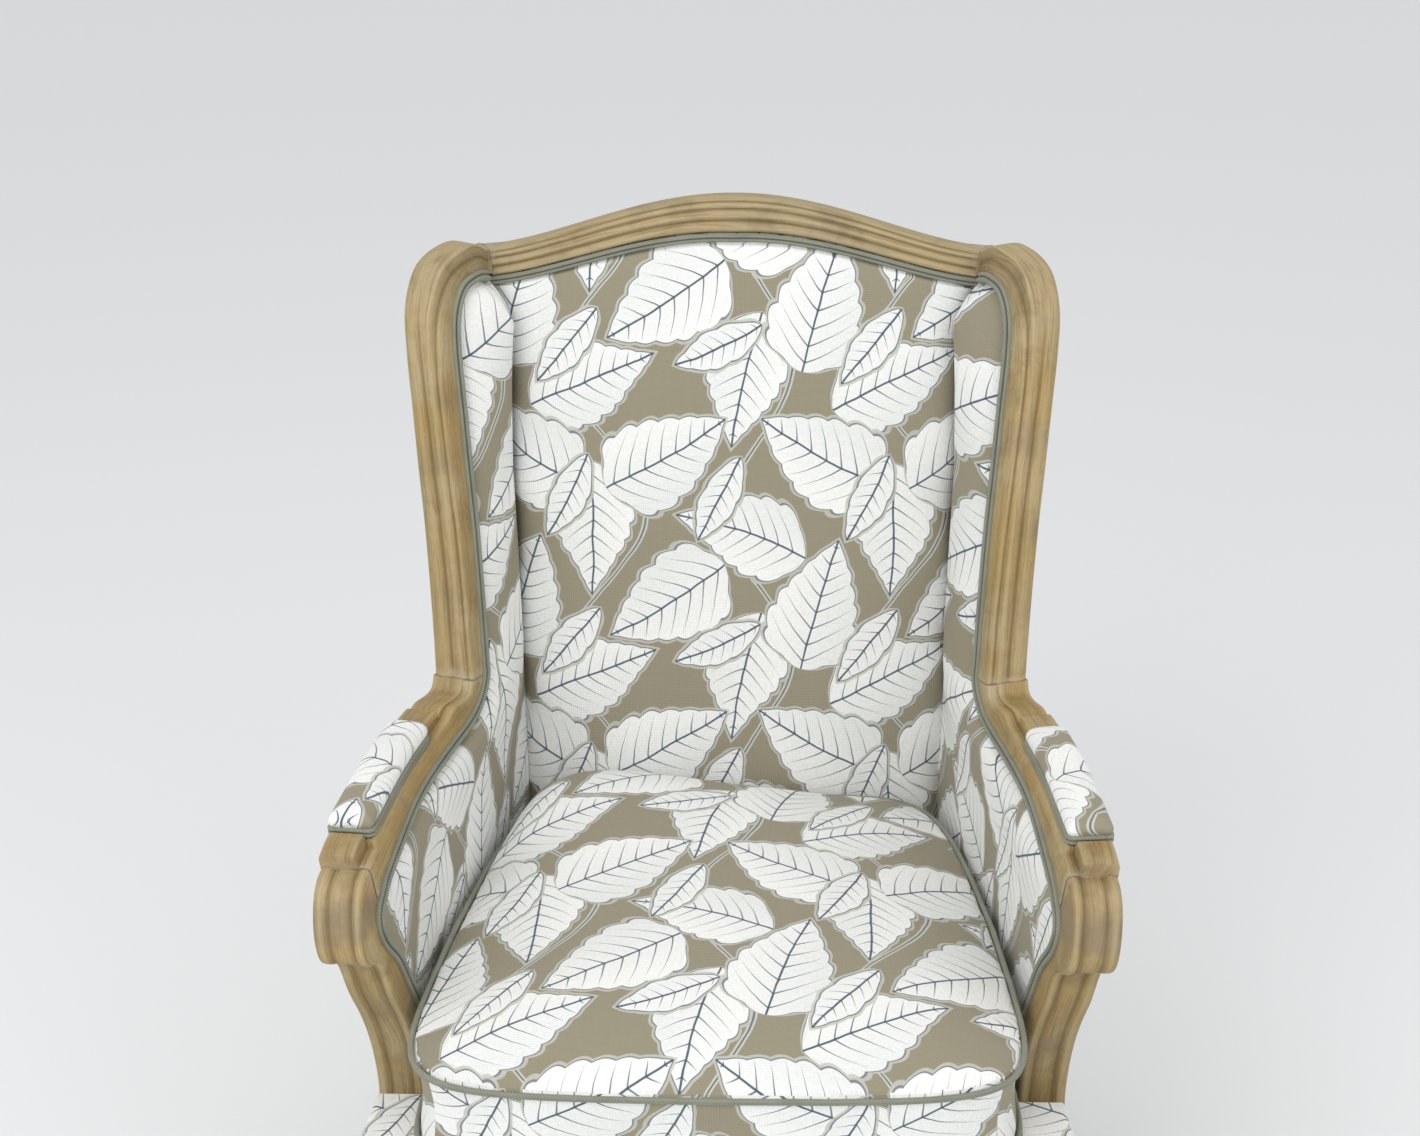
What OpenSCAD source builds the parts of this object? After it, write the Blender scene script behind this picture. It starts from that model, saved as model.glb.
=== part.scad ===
/* [Overall] */
// Width over the arm fronts
arms_w = 740; // [700:5:800]
// Depth from the front rail to the back of the crest
overall_d = 780; // [740:5:840]
// Height of the crest's peak above the floor
overall_h = 1120; // [1040:5:1200]
// Width over the back posts at the seat
back_w = 544; // [500:4:580]
// Lean of the back from the vertical, in degrees
rake = 11; // [8:1:15]

/* [Seat frame] */
// Top of the seat rails above the floor
rail_top = 335; // [315:5:360]
// Height of the seat rails
rail_h = 76; // [64:2:90]
// Thickness of the seat rails
rail_t = 30; // [24:1:34]
// How far the front rail bows forward of its legs
rail_bow = 18; // [8:1:28]
// How far the middle of the front apron hangs below the rails
apron_drop = 12; // [4:1:20]
// Width of the square block on top of a front leg
leg_block = 58; // [48:1:64]
// Width of a front leg at the ankle
ankle_w = 30; // [24:1:36]
// Width of a front foot
foot_w = 42; // [34:1:48]

/* [Back and sides] */
// Depth of the back posts, front to back
post_d = 34; // [28:1:40]
// Width of the back posts
post_w = 36; // [30:1:42]
// Width of the show wood round the sides, wings and arms
face_w = 48; // [42:1:54]
// Height of the crest rail in the middle
crest_h = 36; // [30:1:46]
// Rise of the crest from its corners to its peak
crest_rise = 61; // [40:1:80]
// Height of the arms' top faces above the floor
arm_top = 650; // [610:5:690]
// Drop from the crest's peak to the top of a wing
wing_drop = 38; // [20:2:60]
// How far the foot of a wing stands in front of the back posts
wing_reach = 133; // [110:1:150]
// How far the arm fronts stand behind the front of the seat
arm_setback = 110; // [90:2:140]

/* [Upholstery] */
// Thickness of the seat deck on the rails
deck_t = 44; // [30:1:54]
// Thickness of the seat cushion at its welts
cushion_t = 104; // [85:1:120]
// Rise of the cushion's crown above its welts
cushion_crown = 26; // [12:1:36]
// Thickness of the inside back at its edges
back_pad_t = 20; // [14:1:28]
// Rise of the inside back's crown
back_crown = 26; // [12:1:40]
// Thickness of the inside side pads at their edges
side_pad_t = 13; // [10:1:16]
// Rise of the side pads' crowns
side_crown = 13; // [6:1:18]
// Height of the arm pads
arm_pad_h = 26; // [18:1:34]
// Width of the double welt
welt_w = 9; // [6:0.5:12]
// Height of the double welt
welt_h = 4.5; // [3:0.5:6]

/* [Small fits] */
// Glue line left between two glued frame pieces
glue = 0.1; // [0.05:0.05:0.3]
// Clearance round soft pieces
soft_gap = 0.5; // [0.3:0.1:0.8]
// Diameter of the corner block screws' shanks
screw_d = 4; // [3:0.5:5]

/* [Hidden] */

wood_colour = "#bd9f6f";
dark_wood_colour = "#a98a5a";
cloth_colour = "#b5b1a2";
welt_colour = "#8f9284";
web_colour = "#8c7a5a";

// The side surface that all side pieces follow. Along it, "ahead" is the
// distance in front of the back posts' front plane.
splay_low = 0.19;
splay_top = 0.66;
splay_power = 2.12;
post_flare = 0.022;
wing_top = overall_h - wing_drop;
bend_ahead = 2.1 * wing_reach;
bend_soft = bend_ahead / 3;
probe = welt_h / 9;
arm_front_z = arm_top - 0.12 * (arm_top - rail_top);
arm_reach = overall_d / 2 + back_y(arm_front_z) - arm_setback;

function unit(v) = v / norm(v);
function mix(a, b, t) = a + (b - a) * t;
function mirrored(pts) = [for (p = pts) [-p[0], p[1], p[2]]];
function back_y(z) = overall_d / 2 - post_d + (z - overall_h + crest_h / 2) * tan(rake);
function height_share(z) = max(0, (z - rail_top) / (wing_top - rail_top));
function splay(z) = splay_low + (splay_top - splay_low) * pow(height_share(z), splay_power);
function post_x(z) = back_w / 2 + (z - rail_top) * post_flare;
function past_bend(a) = a < bend_ahead - bend_soft ? 0
    : a > bend_ahead + bend_soft ? a - bend_ahead
    : pow(a - bend_ahead + bend_soft, 2) / (4 * bend_soft);
front_splay = (arms_w / 2 - post_x(arm_front_z) - splay(arm_front_z) * bend_ahead)
    / (arm_reach - bend_ahead);
function out_x(a, z) = post_x(z) + splay(z) * (a - past_bend(a)) + front_splay * past_bend(a);
function on_side(a, z) = [out_x(a, z), back_y(z) - a, z];
function side_normal(a, z) = level(cross(
    on_side(a, z + probe) - on_side(a, z - probe),
    on_side(a + probe, z) - on_side(a - probe, z)));
function level(v) = unit([v[0], v[1], 0]);
function in_side(a, z, inset) = on_side(a, z) - side_normal(a, z) * inset;

// Catmull-Rom curve through rows of numbers, with a whole number of steps a span.
function spline_at(p, i, t) = let (
    n = len(p) - 1, a = p[max(i - 1, 0)], b = p[i], c = p[min(i + 1, n)], d = p[min(i + 2, n)])
    0.5 * (2 * b + (c - a) * t + (2 * a - 5 * b + 4 * c - d) * t * t
        + (3 * b - a - 3 * c + d) * t * t * t);
function smooth(p, steps) = [
    for (i = [0:len(p) - 2], k = [0:steps - 1]) spline_at(p, i, k / steps), p[len(p) - 1]];

// A closed solid skinned over rings of points, its faces turned outwards.
function tetra(p, f) = p[f[0]] * cross(p[f[1]], p[f[2]]);
function total(v, i = 0, sum = 0) = i == len(v) ? sum : total(v, i + 1, sum + v[i]);
function fan(f) = [for (i = [1:len(f) - 2]) [f[0], f[i], f[i + 1]]];
function turned(f) = [for (i = [len(f) - 1:-1:0]) f[i]];
module solid(points, faces) {
    inside_out = total([for (f = faces, t = fan(f)) tetra(points, t)]) > 0;
    polyhedron(points, inside_out ? [for (f = faces) turned(f)] : faces, convexity = 8);
}
module skin(rings, closed = false) {
    n = len(rings[0]);
    count = len(rings) * n;
    ends = closed ? [] : [[for (i = [0:n - 1]) i], [for (i = [n - 1:-1:0]) count - n + i]];
    solid([for (r = rings, p = r) p], concat(ends,
        [for (j = [0:len(rings) - (closed ? 1 : 2)], i = [0:n - 1])
            let (a = j * n + i, b = j * n + (i + 1) % n, c = (a + n) % count, d = (b + n) % count)
            each [[b, a, c], [b, c, d]]]));
}
// A pad between two grids of points of the same size.
module slab(upper, lower) {
    r = len(upper);
    c = len(upper[0]);
    n = r * c;
    rim = concat(
        [for (j = [0:c - 2]) j],
        [for (i = [0:r - 2]) i * c + c - 1],
        [for (j = [c - 1:-1:1]) (r - 1) * c + j],
        [for (i = [r - 1:-1:1]) i * c]);
    solid(concat([for (g = upper, p = g) p], [for (g = lower, p = g) p]), concat(
        [for (i = [0:r - 2], j = [0:c - 2]) let (a = i * c + j)
            each [[a, a + 1, a + c], [a + 1, a + c + 1, a + c]]],
        [for (i = [0:r - 2], j = [0:c - 2]) let (a = n + i * c + j)
            each [[a + 1, a, a + c], [a + c + 1, a + 1, a + c]]],
        [for (k = [0:len(rim) - 1]) let (a = rim[k], b = rim[(k + 1) % len(rim)])
            each [[b, a, a + n], [b, a + n, b + n]]]));
}

// Stations of the side's show wood. Each holds the shares of its outer edge and
// of its inner edge: how far ahead, and how high.
wing_shares = [
    [0.05, 0.957, 0.09, 0.89], [0.27, 1.0, 0.25, 0.93], [0.58, 0.97, 0.44, 0.92],
    [0.76, 0.884, 0.575, 0.862], [0.83, 0.780, 0.64, 0.773], [0.875, 0.652, 0.68, 0.646],
    [0.92, 0.509, 0.725, 0.503], [0.955, 0.373, 0.76, 0.363], [1.005, 0.231, 0.81, 0.221],
    [1.065, 0.09, 0.865, 0.08], [1.105, 0.016, 0.895, 0.004]];
wing_h = wing_top - arm_top;
wing_rows = smooth([for (q = wing_shares) [q[0] * wing_reach, arm_top + q[1] * wing_h,
    q[2] * wing_reach, arm_top + q[3] * wing_h]], 2);

arm_d = 34;
arm_fall = 10;
pad_recess = 8;
pad_rear = 0.462 * arm_reach;
pad_front = 0.843 * arm_reach;
stop_rear = 0.396 * arm_reach;
stop_front = 0.906 * arm_reach;
step_run = 1;
arm_bottom = arm_top - arm_d;
wing_foot = wing_rows[len(wing_rows) - 1];
// Rows of an arm: how far ahead its top is and how high over arm_top, then the same
// for its underside over arm_bottom, in shares of arm_reach and of arm_d.
arm_rear_shares = [
    [0.286, -0.10, 0.242, 0.56], [0.318, -0.12, 0.280, 0.2], [0.360, -0.03, 0.325, 0.05]];
arm_rear_rows = [for (q = arm_rear_shares) [q[0] * arm_reach, arm_top + q[1] * arm_d,
    q[2] * arm_reach, arm_bottom + q[3] * arm_d]];
function arm_row(a, top, under) = [a, arm_top + top, a - pad_recess / 2, arm_bottom + under];
arm_rows = concat([wing_foot], arm_rear_rows, [
    arm_row(stop_rear - step_run, 0, 0),
    arm_row(stop_rear, pad_recess / 2, 0),
    arm_row(pad_rear - step_run, pad_recess / 2, 0),
    arm_row(pad_rear, -pad_recess, 0),
    arm_row(mix(pad_rear, pad_front, 1 / 3), -pad_recess - arm_fall / 9, -arm_fall / 9),
    arm_row(mix(pad_rear, pad_front, 2 / 3), -pad_recess - arm_fall / 2.2, -arm_fall / 2.2),
    arm_row(pad_front - step_run, -pad_recess - arm_fall, -arm_fall),
    arm_row(pad_front, pad_recess / 4 - arm_fall, -arm_fall),
    arm_row(mix(pad_front, stop_front, 0.5), -1.1 * arm_fall, -1.2 * arm_fall),
    [stop_front, arm_top - 1.6 * arm_fall, stop_front - 0.5 * arm_d, arm_bottom - 1.4 * arm_fall]]);

// Rows of an arm support, from the knuckle down to the side rail: shares of
// arm_reach ahead, and of the height between rail and arm.
support_h = arm_top - rail_top;
support_shares = [
    [0.908, 0.924, 0.874, 0.841], [0.935, 0.921, 0.891, 0.832], [0.967, 0.898, 0.906, 0.816],
    [0.989, 0.855, 0.915, 0.793], [1.0, 0.802, 0.913, 0.758], [0.994, 0.750, 0.902, 0.720],
    [0.974, 0.714, 0.884, 0.682], [0.939, 0.688, 0.861, 0.640], [0.913, 0.642, 0.837, 0.584],
    [0.884, 0.530, 0.802, 0.479], [0.841, 0.416, 0.762, 0.375], [0.808, 0.308, 0.728, 0.270],
    [0.786, 0.200, 0.704, 0.175], [0.776, 0.098, 0.695, 0.086], [0.787, 0.0, 0.691, 0.0]];
support_rows = [for (q = support_shares) [q[0] * arm_reach, rail_top + q[1] * support_h,
    q[2] * arm_reach, rail_top + q[3] * support_h]];

// Sections of the show wood: across from inside to outside, then from the
// upholstered edge to the show edge.
wing_section_shares = [
    [-1, -1], [-1, 0.62], [-0.82, 0.93], [-0.58, 1], [-0.44, 0.84], [-0.28, 1], [0.04, 1],
    [0.18, 0.84], [0.34, 0.98], [0.68, 0.88], [0.92, 0.55], [1, 0.1], [1, -1]];
arm_section_shares = [
    [-1, -1], [-1, 0.6], [-0.9, 0.88], [-0.7, 1], [0.7, 1], [0.9, 0.88], [1, 0.6], [1, -1]];
support_section_shares = [
    [-1, -1], [-1, 0.82], [-0.88, 1], [-0.68, 1], [-0.56, 0.88], [0, 0.97], [0.56, 0.88],
    [0.68, 1], [0.88, 1], [1, 0.82], [1, -1]];
function show_ring(row, section, width, inset) = let (
    outer = on_side(row[0], row[1]), inner = on_side(row[2], row[3]),
    across = side_normal((row[0] + row[2]) / 2, (row[1] + row[3]) / 2))
    [for (q = section) mix(inner, outer, (q[1] + 1) / 2)
        - across * (inset + (1 - q[0]) / 2 * width)];
// A row moved towards its neighbour by a length.
function nudged(row, next, by) = let (
    d1 = [next[0] - row[0], next[1] - row[1]], d2 = [next[2] - row[2], next[3] - row[3]])
    [row[0] + by * unit(d1)[0], row[1] + by * unit(d1)[1],
        row[2] + by * unit(d2)[0], row[3] + by * unit(d2)[1]];
function glued_ends(rows) = let (n = len(rows) - 1) [for (i = [0:n])
    i == 0 ? nudged(rows[0], rows[1], glue)
    : i == n ? nudged(rows[n], rows[n - 1], glue) : rows[i]];

// The mitre where the crest meets a wing.
mitre_angle = 22;
crest_d = post_d + back_pad_t;
corner_z = overall_h - crest_rise;
crest_end = 0.65 * crest_h;
mitre_at = [post_x(corner_z) - 0.29 * face_w,
    back_y(corner_z) + (post_d - back_pad_t) / 2, corner_z - crest_end / 2];
mitre_way = [cos(mitre_angle), -sin(mitre_angle), 0];
function to_mitre(p, way, gap) = p + way * (((mitre_at - p) * mitre_way + gap) / (way * mitre_way));

module side_of(side) {
    if (side > 0) children();
    else mirror([1, 0, 0]) children();
}

crest_section_shares = [
    [0.70, -1], [0.95, -0.85], [1, -0.6], [0.8, -0.42], [0.97, -0.25], [0.99, 0],
    [0.78, 0.16], [0.88, 0.36], [0.82, 0.62], [0.45, 0.92], [0, 1], [-0.5, 0.95],
    [-0.9, 0.7], [-1, 0.3], [-1, -1]];
crest_half = mitre_at[0];
function crest_top(x) = corner_z + crest_rise
    * pow(max(0, (1 + cos(180 * min(1, abs(x) / crest_half))) / 2), 0.75);
function crest_height(x) = mix(crest_h, crest_end, min(1, abs(x) / crest_half));
function crest_low(x) = crest_top(x) - crest_height(x);
function crest_ring(x) = let (h = crest_height(x), zc = crest_top(x) - h / 2,
    yc = back_y(zc) + (post_d - back_pad_t) / 2)
    [for (q = crest_section_shares) [x, yc - q[0] * crest_d / 2, zc + q[1] * h / 2]];
crest_steps = 12;
crest_xs = [for (i = [-crest_steps:crest_steps]) crest_half * 0.9 * i / crest_steps];
module crest_rail() {
    end = [for (p = crest_ring(crest_half)) to_mitre(p, [1, 0, 0], -glue)];
    color(wood_colour) skin(concat(
        [mirrored(end)], [for (x = crest_xs) crest_ring(x)], [end]));
}

module wing_rail(side) {
    rows = glued_ends(wing_rows);
    rings = [for (r = rows) show_ring(r, wing_section_shares, face_w, 0)];
    way = level(on_side(rows[1][0], rows[1][1]) - on_side(rows[0][0], rows[0][1]));
    first = [for (p = rings[0]) to_mitre(p, way, glue)];
    color(wood_colour) side_of(side) skin(concat(
        [first], [for (i = [1:len(rings) - 1]) rings[i]]));
}

// The arm's hidden tail, which runs inside the side to the back post.
pad_edge = face_w - welt_h;
pad_back = pad_edge - side_pad_t;
outside_inset = 1;
outside_t = 8;
tail_inset = outside_inset + outside_t + soft_gap;
tail_t = pad_back - soft_gap - tail_inset;
tail_h = 0.9 * arm_d;
tail_shares = [0.12, 0.25, 0.36];
tail_section_shares = [[-1, -1], [-1, 1], [1, 1], [1, -1]];
module arm(side) {
    rows = glued_ends(arm_rows);
    tail_ends = concat([glue], arm_reach * tail_shares);
    color(wood_colour) side_of(side) union() {
        skin([for (r = rows) show_ring(r, arm_section_shares, face_w, 0)]);
        skin([for (a = tail_ends) show_ring([a, arm_bottom + 1.05 * tail_h, a,
            arm_bottom + 0.05 * tail_h], tail_section_shares, tail_t, tail_inset)]);
    }
}

// An arm support is a little thicker than the arm that it carries.
support_proud = 1;
support_w = face_w + 2 * support_proud;
module arm_support(side) {
    color(wood_colour) side_of(side) skin([for (r = glued_ends(support_rows))
        show_ring(r, support_section_shares, support_w, -support_proud)]);
}

// A back post is one piece from the floor to the crest: it leans below the seat
// the other way, is upright at the rails and leans with the back above them.
kick = 88;
rear_foot_w = 28;
rail_bottom = rail_top - rail_h;
post_rise_shares = [0, 0.3, 0.6, 0.85, 1];
post_top = min(crest_low(crest_half), wing_rows[0][3]) - soft_gap;
seat_post_y = back_y(rail_top);
function post_box(z, y, x, w, d) = [
    [x - w / 2, y, z], [x + w / 2, y, z], [x + w / 2, y + d, z], [x - w / 2, y + d, z]];
function post_centre(z) = post_x(z) - face_w / 2;
module rear_post(side) {
    color(wood_colour) side_of(side) skin(concat(
        [for (t = post_rise_shares) let (
            z = mix(glide_h, rail_bottom, t), w = mix(rear_foot_w, post_w, pow(t, 0.5)),
            y = seat_post_y + kick * pow(1 - t, 1.4))
            post_box(z, y, post_centre(rail_top), w, mix(rear_foot_w, post_d, t))],
        [for (z = [rail_top, mix(rail_top, arm_top, 0.5), arm_top,
            mix(arm_top, post_top, 0.5), post_top])
            post_box(z, back_y(z), post_centre(z), post_w, post_d)]));
}

// The rail that closes the foot of the back's frame.
lower_rail_lift = 12;
lower_rail_z = rail_top + deck_t + lower_rail_lift;
lower_rail_h = 46;
lower_rail_t = 22;
function post_inner(z) = post_centre(z) - post_w / 2;
module lower_back_rail() {
    color(dark_wood_colour) skin([for (z = [lower_rail_z, lower_rail_z + lower_rail_h]) let (
        x = post_inner(z) - glue, y = back_y(z) + soft_gap)
        [[-x, y, z], [x, y, z], [x, y + lower_rail_t, z], [-x, y + lower_rail_t, z]]]);
}

front_rail_inset = 4;
// Seat rails. The side rails follow the side surface, and the front rail is
// serpentine in plan with a shaped apron.
leg_front = -overall_d / 2 + rail_bow - front_rail_inset;
leg_rear = leg_front + leg_block;
leg_outer = out_x(seat_post_y - leg_front - leg_block / 2, rail_top);
leg_x = leg_outer - leg_block / 2;
rail_section_shares = [
    [-1, -1], [-1, 1], [0.8, 1], [1, 0.9], [1, -0.55], [0.78, -0.62], [0.95, -0.72],
    [0.95, -0.9], [0.8, -1]];
side_rail_steps = 8;
side_rail_front = seat_post_y - leg_rear;
function side_rail_ring(a) = let (n = side_normal(a, rail_top), p = [out_x(a, rail_top),
    seat_post_y - a, 0])
    [for (q = rail_section_shares) [p[0] - n[0] * (1 - q[0]) / 2 * rail_t,
        p[1] - n[1] * (1 - q[0]) / 2 * rail_t, rail_top + (q[1] - 1) / 2 * rail_h]];
function at_y(p, y) = [p[0], y, p[2]];
module side_rail(side) {
    rear = [for (p = side_rail_ring(0)) at_y(p, seat_post_y - glue)];
    front = [for (p = side_rail_ring(side_rail_front)) at_y(p, leg_rear + glue)];
    color(wood_colour) side_of(side) difference() {
        skin(concat([rear], [for (i = [1:side_rail_steps - 1])
            side_rail_ring(side_rail_front * i / side_rail_steps)], [front]));
        for (y = screw_ys) block_screw(y, screw_clear, block_cut);
    }
}

front_rail_half = leg_x - leg_block / 2 - glue;
front_rail_steps = 10;
function bow(x) = rail_bow * (1 + cos(180 * min(1, abs(x) / front_rail_half))) / 2;
function apron(x) = apron_drop * cos(360 * min(1, abs(x) / front_rail_half));
function front_rail_ring(x) = let (y = leg_front + front_rail_inset - bow(x),
    low = rail_bottom - apron(x), tall = rail_top - low)
    [for (q = rail_section_shares) [x, y + (1 - q[0]) / 2 * rail_t,
        rail_top + (q[1] - 1) / 2 * tall]];
module front_rail() {
    color(wood_colour) skin([for (i = [-front_rail_steps:front_rail_steps])
        front_rail_ring(front_rail_half * i / front_rail_steps)]);
}

module rear_rail() {
    x = post_inner(rail_top) - glue;
    color(wood_colour) translate([-x, seat_post_y + (post_d - rail_t) / 2, rail_bottom])
        cube([2 * x, rail_t, rail_h]);
}

// A front leg: the square block between the rails, then the knee, which swells
// out along the diagonal, the ankle and the foot.
glide_h = 4;
knee_swell = 2;
leg_rows_shares = [
    [0.02, 1.0, 0.5], [0.07, 0.93, 1], [0.2, 0.66, 0.75], [0.42, 0.28, 0.35],
    [0.62, 0.05, 0.0], [0.78, 0.0, 0.03], [0.9, 0.2, 0.4], [0.97, 1, 0.62], [1, 0.9, 0.6]];
knee_out = 9;
function rounded_square(w, round_share) = let (r = w * round_share)
    [for (c = [[1, -1, -90], [1, 1, 0], [-1, 1, 90], [-1, -1, 180]], a = [0, 45, 90])
        [c[0] * (w / 2 - r) + r * cos(c[2] + a), c[1] * (w / 2 - r) + r * sin(c[2] + a)]];
function leg_ring(z, w, shift, round_share) = [for (p = rounded_square(w, round_share))
    [leg_x + shift + p[0], leg_front + leg_block / 2 - shift + p[1], z]];
module front_leg(side) {
    leg_h = rail_bottom - glide_h;
    color(wood_colour) side_of(side) skin(concat(
        [leg_ring(rail_top, leg_block, 0, 0.1), leg_ring(rail_bottom, leg_block, 0, 0.1)],
        [for (q = leg_rows_shares) let (z = rail_bottom - q[0] * leg_h,
            w = mix(ankle_w, q[0] < 0.8 ? leg_block + knee_swell : foot_w, q[1]))
            leg_ring(z, w, knee_out * (q[2] - 0.3), q[0] < 0.1 ? 0.16 : 0.3)]));
}

// Metal glides under the four feet.
glide_r = 9;
foot_shift = knee_out * (0.6 - 0.3);
front_foot = [leg_x + foot_shift, leg_front + leg_block / 2 - foot_shift];
rear_foot = [post_centre(rail_top), seat_post_y + kick + rear_foot_w / 2];
module foot_glides() {
    color("#9a9a98") for (side = [-1, 1], p = [front_foot, rear_foot])
        translate([side * p[0], p[1], 0]) cylinder(r = glide_r, h = glide_h, $fn = 48);
}

// Glued and screwed corner blocks inside the seat frame.
block_leg = 62;
block_cut = 40;
block_h = 46;
block_lift = 14;
block_z = rail_bottom + block_lift;
block_gap = 0.2;
function side_inner_x(y) = out_x(seat_post_y - y, rail_top) - rail_t * rail_slant;
rail_slant = sqrt(1 + pow(splay_low, 2));
front_inner_y = leg_front + front_rail_inset + rail_t + block_gap;
rear_inner_y = seat_post_y + (post_d - rail_t) / 2 - block_gap;
screw_z = block_z + block_h / 2;
function front_block_points() = let (x = leg_x - leg_block / 2 - block_gap, y = leg_rear + block_gap)
    [[x, y], [x, y - (leg_block - rail_t - front_rail_inset) + 2 * block_gap],
        [x - block_cut, y - (leg_block - rail_t - front_rail_inset) + 2 * block_gap],
        [side_inner_x(y + block_cut) - block_gap, y + block_cut],
        [side_inner_x(y) - block_gap, y]];
function rear_block_points() = let (y = seat_post_y - block_gap, x = side_inner_x(y) - block_gap)
    [[x, y], [side_inner_x(y - block_leg) - block_gap, y - block_leg],
        [post_inner(rail_top) - block_cut, y]];
module corner_block_pair(points) {
    for (side = [-1, 1]) side_of(side) translate([0, 0, block_z])
        linear_extrude(block_h) polygon(points);
}
// A screw runs outwards through its block into the side rail. Its hole goes on
// behind the head, out of the block's inner face.
module block_screw(y, clear, head_run) {
    x = side_inner_x(y);
    translate([x + screw_into, y, screw_z]) rotate([0, -90, 0]) {
        cylinder(d = screw_d + 2 * clear, h = screw_long, $fn = 24);
        translate([0, 0, screw_long - screw_head_h])
            cylinder(d = screw_head + 2 * clear, h = head_run, $fn = 24);
    }
}
screw_into = 12;
screw_long = 36;
screw_head = 8;
screw_head_h = 3;
screw_ys = [leg_rear + 0.35 * block_cut, seat_post_y - 0.35 * block_leg];
screw_clear = 0.1;
module corner_blocks() {
    color(dark_wood_colour) difference() {
        union() {
            corner_block_pair(front_block_points());
            corner_block_pair(rear_block_points());
        }
        for (side = [-1, 1], y = screw_ys) side_of(side) block_screw(y, screw_clear, block_cut);
    }
}
module block_screws() {
    color("#a8a7a2") for (side = [-1, 1], y = screw_ys)
        side_of(side) block_screw(y, 0, screw_head_h);
}

// Woven webbing: strips that pass over and under each other.
web_w = 50;
web_t = 1.2;
web_lift = web_t + 0.15;
web_stack = web_t + web_lift;
function web_line(from, to, crossings, phase) = concat([[from, 0]],
    [for (k = [0:len(crossings) - 1]) let (up = (k + phase) % 2, half = web_w / 2 + web_t)
        each [[crossings[k] - half, up * web_lift], [crossings[k] + half, up * web_lift]]],
    [[to, 0]]);
module web_strip(from, to, crossings, phase) {
    line = web_line(from, to, crossings, phase);
    upper = [for (i = [len(line) - 1:-1:0]) line[i] + [0, web_t]];
    translate([0, web_w / 2, 0]) rotate([90, 0, 0]) linear_extrude(web_w)
        polygon(concat(line, upper));
}
web_over = 20;
seat_web_xs = [for (i = [-2:2]) i * 0.17 * back_w];
web_place_shares = [0, 0.38, 0.58, 0.79, 1];
seat_web_ys = [for (t = web_place_shares)
    mix(leg_rear + 0.5 * web_w, seat_post_y - 0.9 * web_w, t)];
module seat_webbing() {
    color(web_colour) translate([0, 0, rail_top]) {
        for (i = [0:4]) let (y = seat_web_ys[i], x = side_inner_x(y - web_w / 2) + web_over)
            translate([0, y, 0]) web_strip(-x, x, seat_web_xs, i % 2);
        for (i = [0:4]) translate([seat_web_xs[i], 0, 0]) rotate([0, 0, 90])
            web_strip(leg_front + web_over / 2, seat_post_y + web_over, seat_web_ys, (i + 1) % 2);
    }
}
back_web_xs = [for (i = [-1:1]) i * 0.26 * back_w];
back_web_zs = [for (i = [0:3]) mix(lower_rail_z + 3 * web_w, post_top - 1.5 * web_w, i / 3)];
module back_webbing() {
    slope = cos(rake);
    color(web_colour) translate([0, back_y(rail_top), rail_top]) rotate([90 - rake, 0, 0]) {
        for (i = [0:3]) let (z = back_web_zs[i], x = post_inner(z) + web_over)
            translate([0, (z - rail_top) / slope, 0])
            web_strip(-x, x, back_web_xs, i % 2);
        for (i = [0:2]) translate([back_web_xs[i], 0, 0]) rotate([0, 0, 90]) web_strip(
            (lower_rail_z - rail_top + web_over / 2) / slope,
            (crest_low(abs(back_web_xs[i]) + web_w / 2) - soft_gap - rail_top) / slope,
            [for (z = back_web_zs) (z - rail_top) / slope], (i + 1) % 2);
    }
}

deck_top = rail_top + deck_t;

// The edge that the side pads share: the inner edge of the show wood, moved in.
function inward(row) = unit([row[2] - row[0], row[3] - row[1]]);
function edge_point(row, by) = [row[2], row[3]] + inward(row) * by;
side_foot = rail_top + web_stack + soft_gap;
support_edge = [for (r = support_rows) if (r[3] > side_foot + welt_w) r];
edge_rows = concat([for (i = [2:len(wing_rows) - 1]) wing_rows[i]], arm_rear_rows,
    [for (i = [4, 8, 9, 11]) arm_rows[i]], support_edge);
edge_count = len(edge_rows);
wing_count = len(wing_rows) - 2;
function back_height(i) = i < wing_count
    ? mix(wing_rows[0][3] - welt_w, edge_rows[wing_count - 1][3], i / (wing_count - 1))
    : mix(edge_rows[wing_count - 1][3], side_foot, (i - wing_count + 1) / (edge_count - wing_count));
back_start = 4;
flange = welt_w + 2 * soft_gap;
pad_column_shares = [0, 0.14, 0.36, 0.6, 0.82, 1];
pad_bump_shares = [0, 0.6, 1, 0.85, 0.42, 0.1];
function end_fade(i) = min(1, (i + 0.5) / 3);
function low_fade(z) = max(0.25, min(1, (z - deck_top - cushion_t) / cushion_t));
function side_row(i) = let (r = edge_rows[i], f = edge_point(r, soft_gap),
    f1 = edge_point(r, soft_gap + flange), g = [back_start, back_height(i)])
    [[f, 0], for (k = [0:len(pad_column_shares) - 1])
        let (p = mix(f1, g, pad_column_shares[k]))
            [p, pad_bump_shares[k] * end_fade(i) * low_fade(p[1])]];
side_rows = concat([for (i = [0:edge_count - 1]) side_row(i)],
    [let (a = support_rows[len(support_rows) - 1][2] - soft_gap)
        [[[a, side_foot], 0], for (k = [0:len(pad_column_shares) - 1])
            [[mix(a - flange, back_start, pad_column_shares[k]), side_foot],
            pad_bump_shares[k] * low_fade(side_foot)]]]);
module inside_side(side) {
    color(cloth_colour) side_of(side) slab(
        [for (r = side_rows) [for (p = r) in_side(p[0][0], p[0][1], pad_edge + side_crown * p[1])]],
        [for (r = side_rows) [for (p = r) in_side(p[0][0], p[0][1], pad_back)]]);
}
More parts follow.
